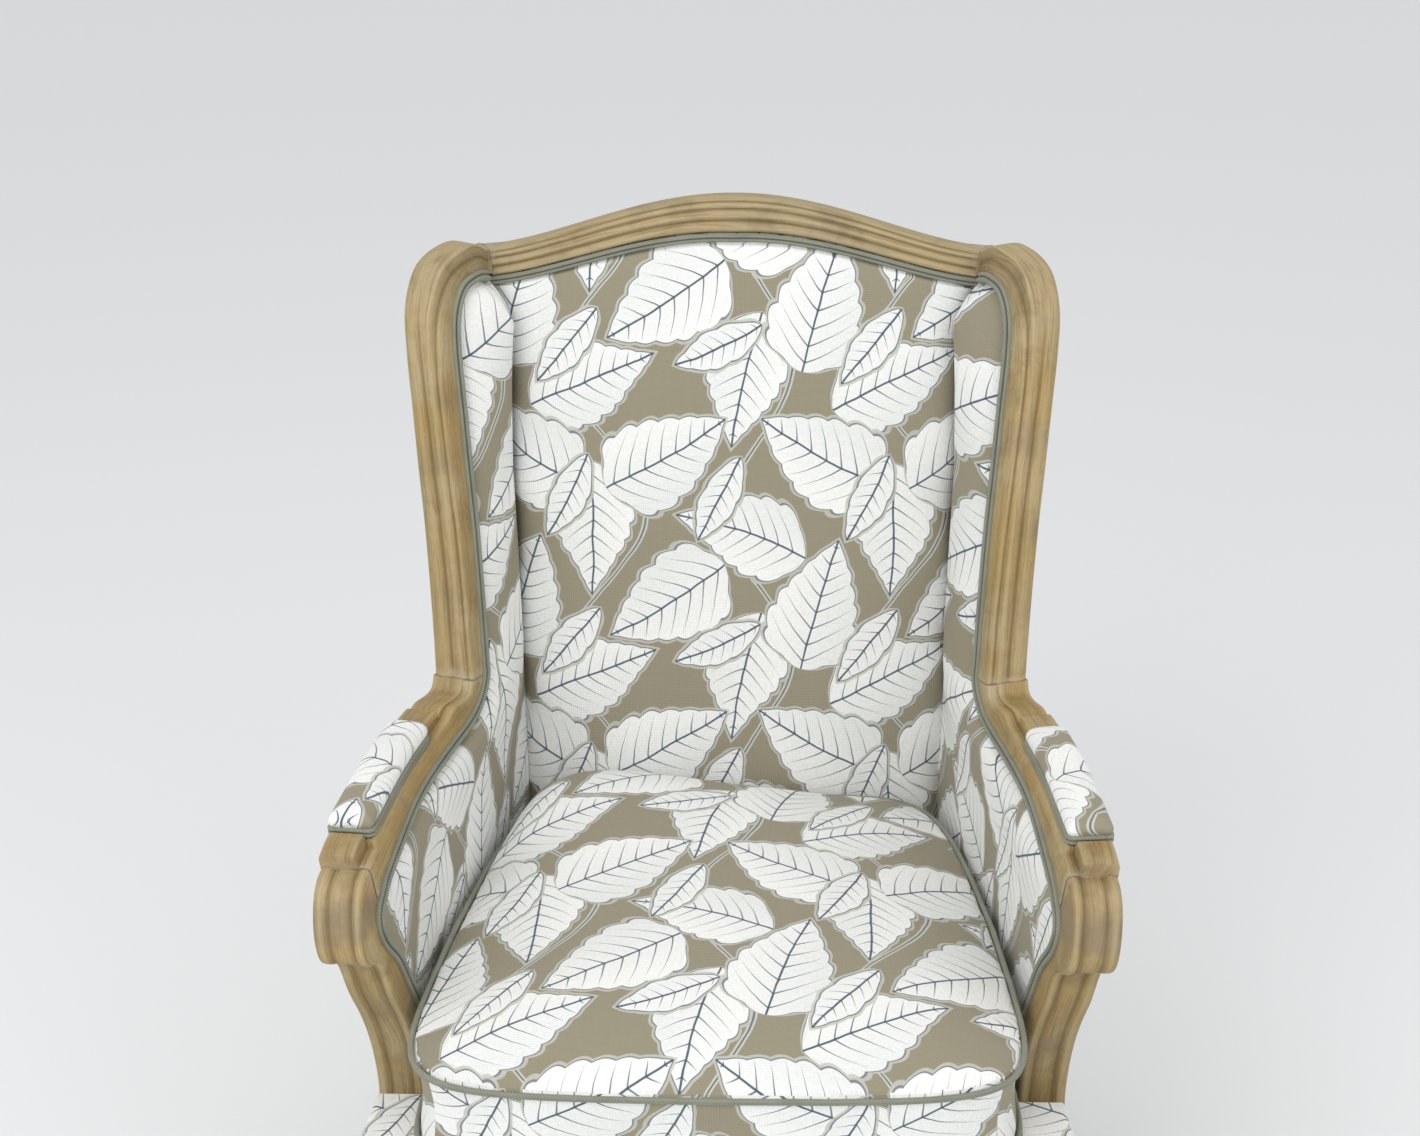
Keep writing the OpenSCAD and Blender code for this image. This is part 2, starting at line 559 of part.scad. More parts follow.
module outside_side(side) {
    columns = [0, 1, 3, 6];
    color(cloth_colour) side_of(side) slab(
        [for (r = side_rows) [for (k = columns) in_side(r[k][0][0], r[k][0][1], outside_inset)]],
        [for (r = side_rows) [for (k = columns) in_side(r[k][0][0], r[k][0][1],
            outside_inset + outside_t)]]);
}

// Double welt: two cords side by side on a flat base.
welt_shares = [[-1, 0], [-1, 0.45], [-0.55, 1], [0, 0.6], [0.55, 1], [1, 0.45], [1, 0]];
// Welt along the side's edge: how far from the edge and how high over the pad.
function side_welt_ring(row, base, out) = let (f = edge_point(row, soft_gap + welt_w / 2),
    n = inward(row))
    [for (q = welt_shares) in_side(f[0] - n[0] * q[0] * welt_w / 2,
        f[1] - n[1] * q[0] * welt_w / 2, base + out * q[1] * welt_h)];
welt_gap = 0.3;
module side_trim(side) {
    color(welt_colour) side_of(side) skin([for (r = edge_rows)
        side_welt_ring(r, pad_edge + welt_gap, 1)]);
}
module outside_side_trim(side) {
    color(welt_colour) side_of(side) skin([for (r = edge_rows)
        side_welt_ring(r, outside_inset - welt_gap, -1)]);
}

// The inside back, between the side pads, and its welt under the crest.
back_pad_rear = web_stack + welt_gap;
back_pad_foot = rail_top + deck_t + soft_gap;
function back_half(z) = out_x(back_pad_t, z)
    - (pad_edge + 0.45 * side_crown) * sqrt(1 + pow(splay(z), 2)) - soft_gap;
back_top_half = back_half(crest_low(crest_half));
back_columns = 8;
function back_top(x) = crest_low(x) - soft_gap;
back_row_shares = [0, 0, 0.06, 0.18, 0.36, 0.56, 0.76, 0.92, 1];
back_rows = len(back_row_shares);
function rounded_bump(t) = pow(max(0, 1 - pow(abs(t), 3)), 0.7);
function back_point(i, k, ahead, crown) = let (
    u = k / back_columns, top = back_top(u * back_top_half) - (i > 0 ? flange : 0),
    z = mix(top, back_pad_foot, back_row_shares[i]),
    bump = i < 2 ? 0 : rounded_bump(u) * (0.25 + 0.75 * rounded_bump(2 * back_row_shares[i] - 1)))
    [u * back_half(z), back_y(z) - ahead - crown * bump, z];
module inside_back() {
    color(cloth_colour) slab(
        [for (i = [0:back_rows - 1]) [for (k = [-back_columns:back_columns])
            back_point(i, k, i < 2 ? back_pad_t - welt_h : back_pad_t, back_crown)]],
        [for (i = [0:back_rows - 1]) [for (k = [-back_columns:back_columns])
            back_point(i, k, back_pad_rear, 0)]]);
}
module back_trim() {
    color(welt_colour) skin([for (k = [-back_columns:back_columns])
        let (x = back_top_half * k / back_columns, z = back_top(x) - welt_w / 2)
        [for (q = welt_shares) let (h = z + q[0] * welt_w / 2)
            [x, back_y(h) - back_pad_t + welt_h - welt_gap - q[1] * welt_h, h]]]);
}

// The outside back, set between the posts, and its welt.
function outside_back_y(z) = back_y(z) + post_d - outside_inset;
outside_back_foot = rail_top + soft_gap;
function outside_half(z) = post_inner(z) - soft_gap;
outside_rows_shares = [0, 0.5, 1];
outside_columns = 6;
function outside_back_point(i, k, ahead) = let (u = k / outside_columns,
    z = mix(back_top(u * outside_half(post_top)), outside_back_foot, outside_rows_shares[i]))
    [u * outside_half(z), outside_back_y(z) - ahead, z];
module outside_back() {
    color(cloth_colour) slab(
        [for (i = [0:2]) [for (k = [-outside_columns:outside_columns])
            outside_back_point(i, k, 0)]],
        [for (i = [0:2]) [for (k = [-outside_columns:outside_columns])
            outside_back_point(i, k, outside_t)]]);
}
module outside_back_trim() {
    // The welt runs up one post, under the crest and down the other post.
    up = [for (t = [0:0.25:1]) let (z = mix(outside_back_foot, back_top(crest_half) - welt_w, t))
        [outside_half(z) - welt_w / 2, z, 1, 0]];
    over = [for (k = [outside_columns - 1:-1:0]) let (x = outside_half(post_top) * k / outside_columns)
        [x, back_top(x) - welt_w / 2, 0, 1]];
    half_line = concat(up, over);
    line = concat(half_line, [for (i = [len(half_line) - 2:-1:0]) let (p = half_line[i])
        [-p[0], p[1], -p[2], p[3]]]);
    color(welt_colour) skin([for (p = line) [for (q = welt_shares)
        let (z = p[1] + q[0] * p[3] * welt_w / 2)
        [p[0] + q[0] * p[2] * welt_w / 2, outside_back_y(z) + welt_gap + q[1] * welt_h, z]]]);
}

// Arm pads on the recessed arm tops. A flange all round carries the welt.
pad_over = 3;
pad_row_shares = [0, 0, 0.12, 0.3, 0.5, 0.7, 0.88, 1, 1];
pad_rise_shares = [0, 0, 0.72, 0.95, 1, 1, 0.85, 0, 0];
pad_across_shares = [0, 0.62, 0.9, 1, 0.9, 0.62, 0];
flange_h = 3;
pad_half = face_w / 2 + pad_over;
pad_inner_half = pad_half - flange;
pad_line_shares = [-1, -0.72, -0.36, 0, 0.36, 0.72, 1];
pad_across = concat([-pad_half], pad_inner_half * pad_line_shares, [pad_half]);
function pad_ahead(i) = i == 0 ? pad_rear + soft_gap : i == len(pad_row_shares) - 1
    ? pad_front - soft_gap - step_run
    : mix(pad_rear + soft_gap + flange, pad_front - soft_gap - step_run - flange, pad_row_shares[i]);
pad_floor = arm_top - pad_recess + welt_gap;
arm_middle = (arm_top - pad_recess + arm_bottom) / 2;
function on_arm(a, across, h) = on_side(a, pad_floor)
    + side_normal(a, arm_middle) * (across - face_w / 2) + [0, 0, h];
function pad_height(i, k) = flange_h + (k == 0 || k == 8 ? 0
    : (arm_pad_h - flange_h) * pad_rise_shares[i] * pad_across_shares[k - 1]);
module arm_pad(side) {
    color(cloth_colour) side_of(side) slab(
        [for (i = [0:8]) [for (k = [0:8]) on_arm(pad_ahead(i), pad_across[k], pad_height(i, k))]],
        [for (i = [0:8]) [for (k = [0:8]) on_arm(pad_ahead(i), pad_across[k], 0)]]);
}
// The welt that runs round an arm pad: along both long sides and across the ends.
function trim_turn(i) = i == 0 ? -1 : i == 5 ? 1 : 0;
module arm_pad_trim(side) {
    across = pad_half - flange / 2;
    from = pad_ahead(0) + flange / 2;
    to = pad_ahead(8) - flange / 2;
    inside_line = [for (i = [0:5]) [mix(from, to, i / 5), -across, trim_turn(i), -1]];
    outside_line = [for (i = [5:-1:0]) [mix(from, to, i / 5), across, trim_turn(i), 1]];
    color(welt_colour) side_of(side) skin([for (p = concat(inside_line, outside_line))
        [for (q = welt_shares) on_arm(p[0] + q[0] * p[2] * welt_w / 2,
            p[1] + q[0] * p[3] * welt_w / 2, flange_h + welt_gap + q[1] * welt_h)]], true);
}

// The seat deck: a flat padded platform that runs out over the front rail.
deck_z = rail_top + web_stack + glue;
deck_round = 12;
deck_front_inset = front_rail_inset + welt_h + soft_gap;
ear_rear = seat_post_y - support_rows[len(support_rows) - 1][0] - 0.1 * face_w - soft_gap;
function deck_half(y) = out_x(seat_post_y - y, rail_top) - support_w * rail_slant - soft_gap;
function ear_half(y) = out_x(seat_post_y - y, rail_top) - front_rail_inset;
function deck_front(x) = leg_front + deck_front_inset - bow(x);
module seat_deck() {
    rear = seat_post_y - soft_gap;
    ear = leg_front + deck_front_inset + deck_round;
    half_line = concat(
        [for (t = [0:0.25:1]) let (y = mix(rear, ear_rear, t)) [deck_half(y), y]],
        [[ear_half(ear_rear), ear_rear], [ear_half(ear), ear]],
        [for (a = [30, 60, 90]) [ear_half(ear) - deck_round * (1 - cos(a)),
            ear - deck_round * sin(a)]],
        [for (k = [6:-1:1]) let (x = front_rail_half * k / 6) [x, deck_front(x)]]);
    color(cloth_colour) translate([0, 0, deck_z]) linear_extrude(deck_top - deck_z)
        polygon(concat(half_line, [[0, deck_front(0)]],
            [for (i = [len(half_line) - 1:-1:0]) [-half_line[i][0], half_line[i][1]]]));
}
module deck_trim() {
    end = ear_half(leg_front) - deck_round;
    color(welt_colour) skin([for (k = [-12:12]) let (x = end * k / 12)
        [for (q = welt_shares) [x, deck_front(x) - welt_gap - q[1] * welt_h,
            rail_top + glue + welt_w / 2 + q[0] * welt_w / 2]]]);
}
dust_t = 1;
module dust_cover() {
    y0 = seat_post_y + post_d / 2;
    y1 = seat_post_y - soft_gap;
    y2 = leg_rear + soft_gap;
    y3 = leg_front + front_rail_inset + rail_t + soft_gap;
    x1 = post_inner(rail_top) - soft_gap;
    x3 = leg_x - leg_block / 2 - soft_gap;
    half_line = [[x1, y0], [x1, y1], [side_inner_x(y1) + rail_t / 2, y1],
        [side_inner_x(y2) + rail_t / 2, y2], [x3, y2], [x3, y3]];
    color("#3c3a38") translate([0, 0, rail_bottom - glue - dust_t]) linear_extrude(dust_t)
        polygon(concat(half_line,
            [for (i = [len(half_line) - 1:-1:0]) [-half_line[i][0], half_line[i][1]]]));
}

// The loose seat cushion: a trapezoid with a bowed front, drawn-in sides
// between its two welts and a crown.
cushion_z = deck_top + welt_gap;
cushion_middle = cushion_z + cushion_t / 2;
cushion_rear = back_y(cushion_middle) - back_pad_t - 0.7 * back_crown;
cushion_front = leg_front + 2 * welt_w;
cushion_bow = 0.6 * rail_bow;
cushion_belly = 5;
draw_in = 5;
welt_r = 4.2;
edge_in = welt_r + welt_gap;
cushion_power = 7;
cushion_sides = 40;
function cushion_half(y) = out_x(back_y(cushion_z) - y, cushion_z)
    - support_w * rail_slant - welt_r;
function rounded(c) = sign(c) * pow(abs(c), 2 / cushion_power);
function cushion_point(a, share, inset, z) = let (
    u = rounded(cos(a)), v = rounded(sin(a)),
    middle = (cushion_rear + cushion_front) / 2, half = (cushion_rear - cushion_front) / 2 - welt_r,
    y = middle + v * share * (half - inset))
    [u * share * (cushion_half(y) - inset),
        y + (v < 0 ? cushion_bow * v * share * (1 - u * u) : 0), z];
function cushion_ring(share, inset, z) = [for (i = [0:cushion_sides - 1])
    cushion_point(360 * i / cushion_sides, share, inset, z)];
welt_low = cushion_z + cushion_belly;
welt_high = cushion_z + cushion_t - cushion_belly;
crown_shares = [0.97, 0.9, 0.8, 0.66, 0.5, 0.33, 0.16];
side_shares = [0.12, 0.3, 0.5, 0.7, 0.88];
function crown_z(share) = welt_high + cushion_belly
    + (cushion_crown - cushion_belly) * (1 - pow(share, 4));
module seat_cushion() {
    color(cloth_colour) skin(concat(
        [cushion_ring(0.5, 0, cushion_z), cushion_ring(0.93, 0, cushion_z)],
        [cushion_ring(1, edge_in, welt_low)],
        [for (t = side_shares) cushion_ring(1, edge_in + draw_in * sin(180 * t),
            mix(welt_low, welt_high, t))],
        [cushion_ring(1, edge_in, welt_high)],
        [for (r = crown_shares) cushion_ring(r, edge_in * r, crown_z(r))]));
}
module cushion_welt(z) {
    color(welt_colour) skin([for (i = [0:cushion_sides - 1]) let (a = 360 * i / cushion_sides)
        [for (b = [0:60:300]) cushion_point(a, 1, -welt_r * cos(b), z + welt_r * sin(b))]], true);
}

crest_rail();
rear_post(-1);  // rear_post_left
rear_post(1);  // rear_post_right
lower_back_rail();
wing_rail(-1);  // wing_rail_left
wing_rail(1);  // wing_rail_right
arm(-1);  // arm_left
arm(1);  // arm_right
arm_support(-1);  // arm_support_left
arm_support(1);  // arm_support_right
front_leg(-1);  // front_leg_left
front_leg(1);  // front_leg_right
front_rail();
side_rail(-1);  // side_rail_left
side_rail(1);  // side_rail_right
rear_rail();
corner_blocks();
block_screws();
foot_glides();
seat_webbing();
back_webbing();
seat_deck();
dust_cover();
seat_cushion();
cushion_welt(welt_high);  // cushion_welt_top
cushion_welt(welt_low);  // cushion_welt_bottom
inside_back();
outside_back();
inside_side(-1);  // inside_side_left
inside_side(1);  // inside_side_right
outside_side(-1);  // outside_side_left
outside_side(1);  // outside_side_right
arm_pad(-1);  // arm_pad_left
arm_pad(1);  // arm_pad_right
back_trim();
side_trim(-1);  // side_trim_left
side_trim(1);  // side_trim_right
arm_pad_trim(-1);  // arm_pad_trim_left
arm_pad_trim(1);  // arm_pad_trim_right
outside_back_trim();
outside_side_trim(-1);  // outside_side_trim_left
outside_side_trim(1);  // outside_side_trim_right
deck_trim();
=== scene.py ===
import math

import bmesh
import bpy
import numpy as np
from mathutils import Matrix, Vector
from mathutils.kdtree import KDTree


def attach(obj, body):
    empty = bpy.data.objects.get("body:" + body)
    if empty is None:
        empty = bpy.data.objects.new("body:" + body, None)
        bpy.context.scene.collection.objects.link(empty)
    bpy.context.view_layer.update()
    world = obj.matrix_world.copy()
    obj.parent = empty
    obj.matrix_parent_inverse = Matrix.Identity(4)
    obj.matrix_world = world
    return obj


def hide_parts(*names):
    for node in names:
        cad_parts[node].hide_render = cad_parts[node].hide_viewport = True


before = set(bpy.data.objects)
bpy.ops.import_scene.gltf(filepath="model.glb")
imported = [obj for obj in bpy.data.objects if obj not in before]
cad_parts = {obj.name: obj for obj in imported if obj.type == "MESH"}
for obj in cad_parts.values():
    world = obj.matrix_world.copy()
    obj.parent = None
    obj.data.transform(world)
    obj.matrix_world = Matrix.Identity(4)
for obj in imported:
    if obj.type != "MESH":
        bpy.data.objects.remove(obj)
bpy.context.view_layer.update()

# The view: a studio camera a little above the crest and two metres in front of the chair,
# with a short telephoto lens, tipped down at the seat.
def new_object(name, data):
    """Shows data as an object in the scene."""
    made = bpy.data.objects.new(name, data)
    bpy.context.scene.collection.objects.link(made)
    return made


yaw, pitch, roll = -0.026, 0.416, -0.003
view_ahead = Vector((math.sin(yaw) * math.cos(pitch), math.cos(yaw) * math.cos(pitch),
                     -math.sin(pitch)))
view_level = Vector((math.cos(yaw), -math.sin(yaw), 0))
view_above = view_level.cross(view_ahead)
view_right = view_level * math.cos(roll) + view_above * math.sin(roll)
view_up = view_above * math.cos(roll) - view_level * math.sin(roll)
view = new_object("view", bpy.data.cameras.new("view"))
view.data.sensor_width = 36
view.data.lens = 54.49
view.data.shift_x = -0.0266
view.data.shift_y = 0.0028
view_at = Vector((0.0729, -1.926, 1.6859))
view.matrix_world = (Matrix.Translation(view_at)
                     @ Matrix((view_right, view_up, -view_ahead)).transposed().to_4x4())
bpy.context.scene.camera = view
bpy.context.scene.view_settings.view_transform = "Standard"


# The studio: a pale painted floor that runs back without a seam, a soft white room round it,
# one broad lamp high on the left and a weaker one on the right.
def linear(code):
    """An sRGB hex colour as the linear numbers that a shader takes."""
    parts = [int(code[i:i + 2], 16) / 255 for i in (1, 3, 5)]
    return tuple(c / 12.92 if c < 0.04045 else ((c + 0.055) / 1.055) ** 2.4 for c in parts) + (1,)


def set_inputs(node, at):
    """Sets a node's inputs to values, or links them to other nodes' outputs."""
    for place, value in (at.items() if isinstance(at, dict) else enumerate(at)):
        if isinstance(value, bpy.types.NodeSocket):
            node.id_data.links.new(value, node.inputs[place])
        else:
            node.inputs[place].default_value = value


def add(tree, kind, at=(), out=0, **settings):
    """Adds a node with its settings, sets or links its inputs, and gives one output. A shader
    node's kind goes without its prefix."""
    node = tree.nodes.new(kind if "Node" in kind else "ShaderNode" + kind)
    for name, value in settings.items():
        setattr(node, name, value)
    set_inputs(node, at)
    return node.outputs[out] if node.outputs else node


def new_finish(name, **at):
    """A material with its shader's own inputs set: the material, its tree and its shader."""
    made = bpy.data.materials.new(name)
    made.use_nodes = True
    shader = made.node_tree.nodes["Principled BSDF"]
    set_inputs(shader, {place.replace("_", " "): value for place, value in at.items()})
    return made, made.node_tree, shader


floor_paint, tree, shader = new_finish("painted studio floor", Roughness=0.9,
                                       Base_Color=linear("#eceeef"), Specular_IOR_Level=0.1)
floor_half = 40
floor_mesh = bpy.data.meshes.new("studio_floor")
floor_mesh.from_pydata([(x * floor_half, y * floor_half, 0)
                        for x, y in ((-1, -1), (1, -1), (1, 1), (-1, 1))], [], [(0, 1, 2, 3)])
floor_mesh.materials.append(floor_paint)
new_object("studio_floor", floor_mesh)

room = bpy.data.worlds.new("white room")
bpy.context.scene.world = room
room.use_nodes = True
tree = room.node_tree
tree.nodes.clear()
ray = add(tree, "LightPath")
seen = add(tree, "Math", [ray, ray.node.outputs["Is Glossy Ray"]], operation="MAXIMUM")
seen = add(tree, "Math", [seen, ray.node.outputs["Is Transmission Ray"]], operation="MAXIMUM")
lit = add(tree, "Background", [(1, 1, 1, 1), 0.80])
shown = add(tree, "Background", [linear("#d7d9da"), 1])
add(tree, "OutputWorld", [add(tree, "MixShader", [seen, lit, shown])])

lamp_aim = Vector((0, 0, 0.6))
for lamp_name, lamp_place, lamp_power, lamp_size in (
        ("broad lamp", (-1.5, -2.2, 2.8), 46, 2.4), ("weak lamp", (2.0, -1.7, 2.2), 18, 2.0)):
    lamp = new_object(lamp_name, bpy.data.lights.new(lamp_name, "AREA"))
    lamp.data.energy, lamp.data.size = lamp_power, lamp_size
    lamp.location = lamp_place
    lamp.rotation_euler = (lamp_aim - lamp.location).to_track_quat("-Z", "Y").to_euler()


# Rear posts: two long beech posts, sawn to lean back above the seat and kick back below it,
# planed, rounded along their edges, limed and waxed. They carry the whole back.
chair_w, chair_d, chair_h = 0.74, 0.78, 1.12
back_w = 0.544
lean_angle = math.radians(11)
lean = math.tan(lean_angle)
rail_top, rail_h, rail_t, rail_bow, apron_drop = 0.335, 0.076, 0.030, 0.018, 0.012
post_d, post_w, post_flare = 0.034, 0.036, 0.022
face_w = 0.048
crest_h, crest_rise = 0.036, 0.056
arm_top = 0.650
wing_top = chair_h - 0.038
glide_h = 0.004
rear_foot_w, kick = 0.028, 0.088
rail_bottom = rail_top - rail_h
glue, gap = 0.0001, 0.0005
sides = ((-1, "left"), (1, "right"))


def mix(a, b, t):
    return a + (b - a) * t


def unit(v):
    return np.asarray(v, float) / np.linalg.norm(v)


def back_y(z):
    """How far back the front of the rear posts lies at a height."""
    return chair_d / 2 - post_d + (z - chair_h + crest_h / 2) * lean


def post_x(z):
    """Half the width over the rear posts at a height."""
    return back_w / 2 + (z - rail_top) * post_flare


def set_marks(mesh, marks):
    """Keeps a number or a vector at each point of a mesh, by name."""
    for mark, values in marks.items():
        values = np.array(values, dtype=np.float32)
        kind, field = ("FLOAT_VECTOR", "vector") if values.ndim > 1 else ("FLOAT", "value")
        mesh.attributes.new(mark, kind, "POINT").data.foreach_set(field, values.ravel())


def shade_smooth(mesh, crease):
    """Smooth shading, with sharp edges where faces meet at more than crease degrees."""
    mesh.polygons.foreach_set("use_smooth", [True] * len(mesh.polygons))
    mesh.set_sharp_from_angle(angle=math.radians(crease))


def new_piece(name, points, faces, uvs, uv_name, crease=40, **marks):
    """A smooth mesh with metre-scaled UVs, its faces turned outwards. marks are numbers for
    each point that a material reads by name."""
    mesh = bpy.data.meshes.new(name)
    mesh.from_pydata([tuple(p) for p in points], [], faces)
    layer = mesh.uv_layers.new(name=uv_name)
    layer.data.foreach_set("uv", np.array(uvs, dtype=np.float32).ravel())
    set_marks(mesh, marks)
    work = bmesh.new()
    work.from_mesh(mesh)
    bmesh.ops.recalc_face_normals(work, faces=work.faces)
    work.to_mesh(mesh)
    work.free()
    shade_smooth(mesh, crease)
    return new_object(name, mesh)


joint_reach = 0.014


def loft(name, rings, uv_name="Grain", shift=(0, 0), marks=0, crease=40, seams=1.0):
    """A closed skin over rings of points: u runs along it and v round it, in metres. marks
    say how deep in a groove each point is, which the wood paints as shade, and below 0 how
    high on the ridges, which it paints paler; seams say how dirty in a joint each point is."""
    rings = np.asarray(rings, float)
    count, around = rings.shape[:2]
    along, across = (
        np.concatenate([[0], np.cumsum(np.linalg.norm(
            np.roll(rings, -1, axis=way) - rings, axis=2).mean(axis=1 - way))]) + shift[way]
        for way in (0, 1))
    faces, uvs = [], []
    for i in range(count - 1):
        for k in range(around):
            m = (k + 1) % around
            a, b = i * around, (i + 1) * around
            faces.append((a + k, a + m, b + m, b + k))
            uvs += [(along[i], across[k]), (along[i], across[k + 1]),
                    (along[i + 1], across[k + 1]), (along[i + 1], across[k])]
    for i, order in ((0, range(around - 1, -1, -1)), (count - 1, range(around))):
        faces.append(tuple(i * around + k for k in order))
        ring = rings[i]
        side_way = unit(ring[0] - ring[around // 2])
        other_way = unit(np.cross(ring[1] - ring[0], side_way)
                         + np.cross(ring[around // 2] - ring[0], side_way))
        uvs += [(along[i] + (ring[k] - ring.mean(axis=0)) @ other_way, across[k]) for k in order]
    run = along[:count] - shift[0]
    to_end = np.exp(-np.minimum(run, run[-1] - run) / joint_reach)[:, None]
    return new_piece(name, rings.reshape(-1, 3), faces, uvs, uv_name, crease,
                     recess=np.broadcast_to(marks, (count, around)).ravel(),
                     joint=(to_end * np.broadcast_to(seams, (count, around))).ravel())


# the colour mix's inputs, by number, because it has others of the same names
share_in, under_in, over_in = 0, 6, 7


def worked_out(tree, kind, known, rows):
    """Adds a node for each row, of a name for its result, its operation and its terms, which
    are values or names of results that are known already."""
    for name, operation, *terms in rows:
        known[name] = add(tree, kind, [known.get(term, term) for term in terms],
                          operation=operation)


def washes(tree, colour, rows):
    """Tints laid over a colour one by one. Each row is a value, the range of it over which the
    tint comes in, its greatest share, and the tint."""
    for value, low, high, most, tint in rows:
        share = add(tree, "MapRange", [value, low, high, 0, most])
        colour = add(tree, "Mix", {share_in: share, under_in: colour, over_in: tint}, out=2,
                     data_type="RGBA")
    return colour


knuckle_z = 0.602


def limed_wood(name, shift, wash, warm):
    """Beech that was stained tan, limed and waxed: pale lime lies in the pores and in worn
    patches, brown dirt in the joints, painted shade in the grooves and hollows, wear and a
    painted highlight on the ridges, and the grain runs along each piece."""
    made, tree, shader = new_finish(name, Roughness=0.58, Specular_IOR_Level=0.3)
    place = add(tree, "UVMap", uv_map="Grain")
    solid = add(tree, "TexCoord", out="Object")
    wander = add(tree, "TexNoise", {"Vector": solid, "Scale": 9, "Detail": 2}, out=1)
    noises = {}
    worked_out(tree, "VectorMath", noises, (
        ("wander", "SUBTRACT", wander, (0.5, 0.5, 0.5)),
        ("place", "MULTIPLY_ADD", "wander", (0.03, 0.014, 0), place)))
    # figure: growth bands 5 to 8 mm apart; streak: grain lines; pore: pores 0.5 mm wide and
    # 8 mm long, drawn about three times as coarse as in real beech so that they show
    for part, scale, detail in (("figure", (4, 120, 1), 3), ("streak", (11, 420, 1), 4),
                                ("pore", (60, 900, 1), 3)):
        stretched = add(tree, "Mapping", {"Vector": noises["place"], "Location": (shift, shift, 0),
                                          "Scale": scale})
        noises[part] = add(tree, "TexNoise", {"Vector": stretched, "Scale": 1, "Detail": detail,
                                              "Roughness": 0.65})
    for part, scale, detail in (("patch", 9, 5), ("scuff", 55, 5), ("board", 3.1, 2),
                                ("rub", 21, 6), ("grime", 13, 4)):
        noises[part] = add(tree, "TexNoise", {"Vector": solid, "Scale": scale, "Detail": detail,
                                              "Roughness": 0.66})
    # the pale patches grow towards the top, over the curls and the crest, and grime has
    # stayed on the knuckles, under the fingers
    level = add(tree, "SeparateXYZ", [solid], out=2)
    high = add(tree, "MapRange", [level, 0.93, 1.07, 0, 0.17])
    worked_out(tree, "Math", noises, (
        ("patch", "ADD", "patch", high), ("held", "SUBTRACT", level, knuckle_z),
        ("held", "ABSOLUTE", "held")))
    held = add(tree, "MapRange", [noises["held"], 0.007, 0.022, 0.26, 0])
    marked, noises["seam"] = (add(tree, "Attribute", attribute_name=mark, out=2)
                              for mark in ("recess", "joint"))
    # the marks paint shade into the grooves and hollows, darkest at their bottoms
    worked_out(tree, "Math", noises, (
        ("grime", "ADD", "grime", held), ("recess", "MULTIPLY_ADD", "rub", 0.5, marked),
        ("ridge_wear_and_highlight", "MULTIPLY", "rub", 0.4), ("ridge_wear_and_highlight", "SUBTRACT", "ridge_wear_and_highlight", marked),
        ("joint", "MULTIPLY_ADD", "seam", 0.55, "scuff"),
        ("height", "ADD", "pore", "streak"), ("height", "MULTIPLY_ADD", "rub", 0.8, "height")))
    colour = washes(tree, linear("#987f50"), [
        (noises[part], low, high, share, linear(tint)) for part, low, high, share, tint in (
            ("figure", 0.36, 0.66, 0.7, "#a8956a"), ("board", 0.45, 0.62, warm, "#b3904d"),
            ("patch", 0.45, 0.62, wash, "#b5a787"), ("streak", 0.5, 0.66, 0.6, "#6f5c38"),
            ("pore", 0.56, 0.7, 0.45, "#c4b896"), ("rub", 0.53, 0.68, 0.55, "#7c6843"),
            # the ridges are painted paler: partly wear, partly a painted highlight
            ("grime", 0.53, 0.72, 0.6, "#82735f"), ("ridge_wear_and_highlight", 0.35, 0.9, 0.4, "#c3b48c"),
            ("recess", 0.4, 1.3, 0.75, "#66522f"), ("joint", 0.72, 1.0, 0.7, "#b3a48b"),
            ("seam", 0.88, 1.0, 0.7, "#5f4c33"))])
    rough = add(tree, "MapRange", [noises["patch"], 0.3, 0.7, 0.48, 0.7])
    bump = add(tree, "Bump", {"Strength": 0.5, "Distance": 0.0007, "Height": noises["height"]})
    set_inputs(shader, {"Base Color": colour, "Roughness": rough, "Normal": bump})
    return made


wood_of_posts = limed_wood("limed beech, posts and rails", 0.0, 0.6, 0.4)


def own(piece, made, slot_name, body_name, *nodes, fill=None):
    """Gives a piece its material and its body, and hides the CAD nodes that it stands for.
    slot_name is not used, and fill is not used."""
    piece.data.materials.clear()
    piece.data.materials.append(made)
    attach(piece, body_name)
    if nodes:
        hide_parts(*nodes)


def carve(node, rings, made, shift, side_name="", **looks):
    """A piece of show wood over rings of points, in place of its CAD node."""
    end = side_name and "_" + side_name
    piece = loft(f"{node}_wood{end}", rings, shift=shift, **looks)
    own(piece, made, "show_wood", "frame", node + end)
    return piece


def rounded_box(x, y, z, w, d, r):
    """A level ring: a rectangle with rounded corners round the middle (x, y)."""
    ring = []
    for cx, cy, start in ((1, -1, -90), (1, 1, 0), (-1, 1, 90), (-1, -1, 180)):
        for a in np.radians(start + np.array([0, 22.5, 45, 67.5, 90])):
            ring.append((x + cx * (w / 2 - r) + r * math.cos(a),
                         y + cy * (d / 2 - r) + r * math.sin(a), z))
    return ring


def post_centre(z):
    return post_x(z) - face_w / 2


def crest_top(x):
    u = min(1, abs(x) / crest_half)
    return corner_z + crest_rise * ((1 + math.cos(math.pi * u)) / 2) ** 0.75


def crest_height(x):
    return mix(crest_h, crest_end, min(1, abs(x) / crest_half))


def crest_low(x):
    return crest_top(x) - crest_height(x)


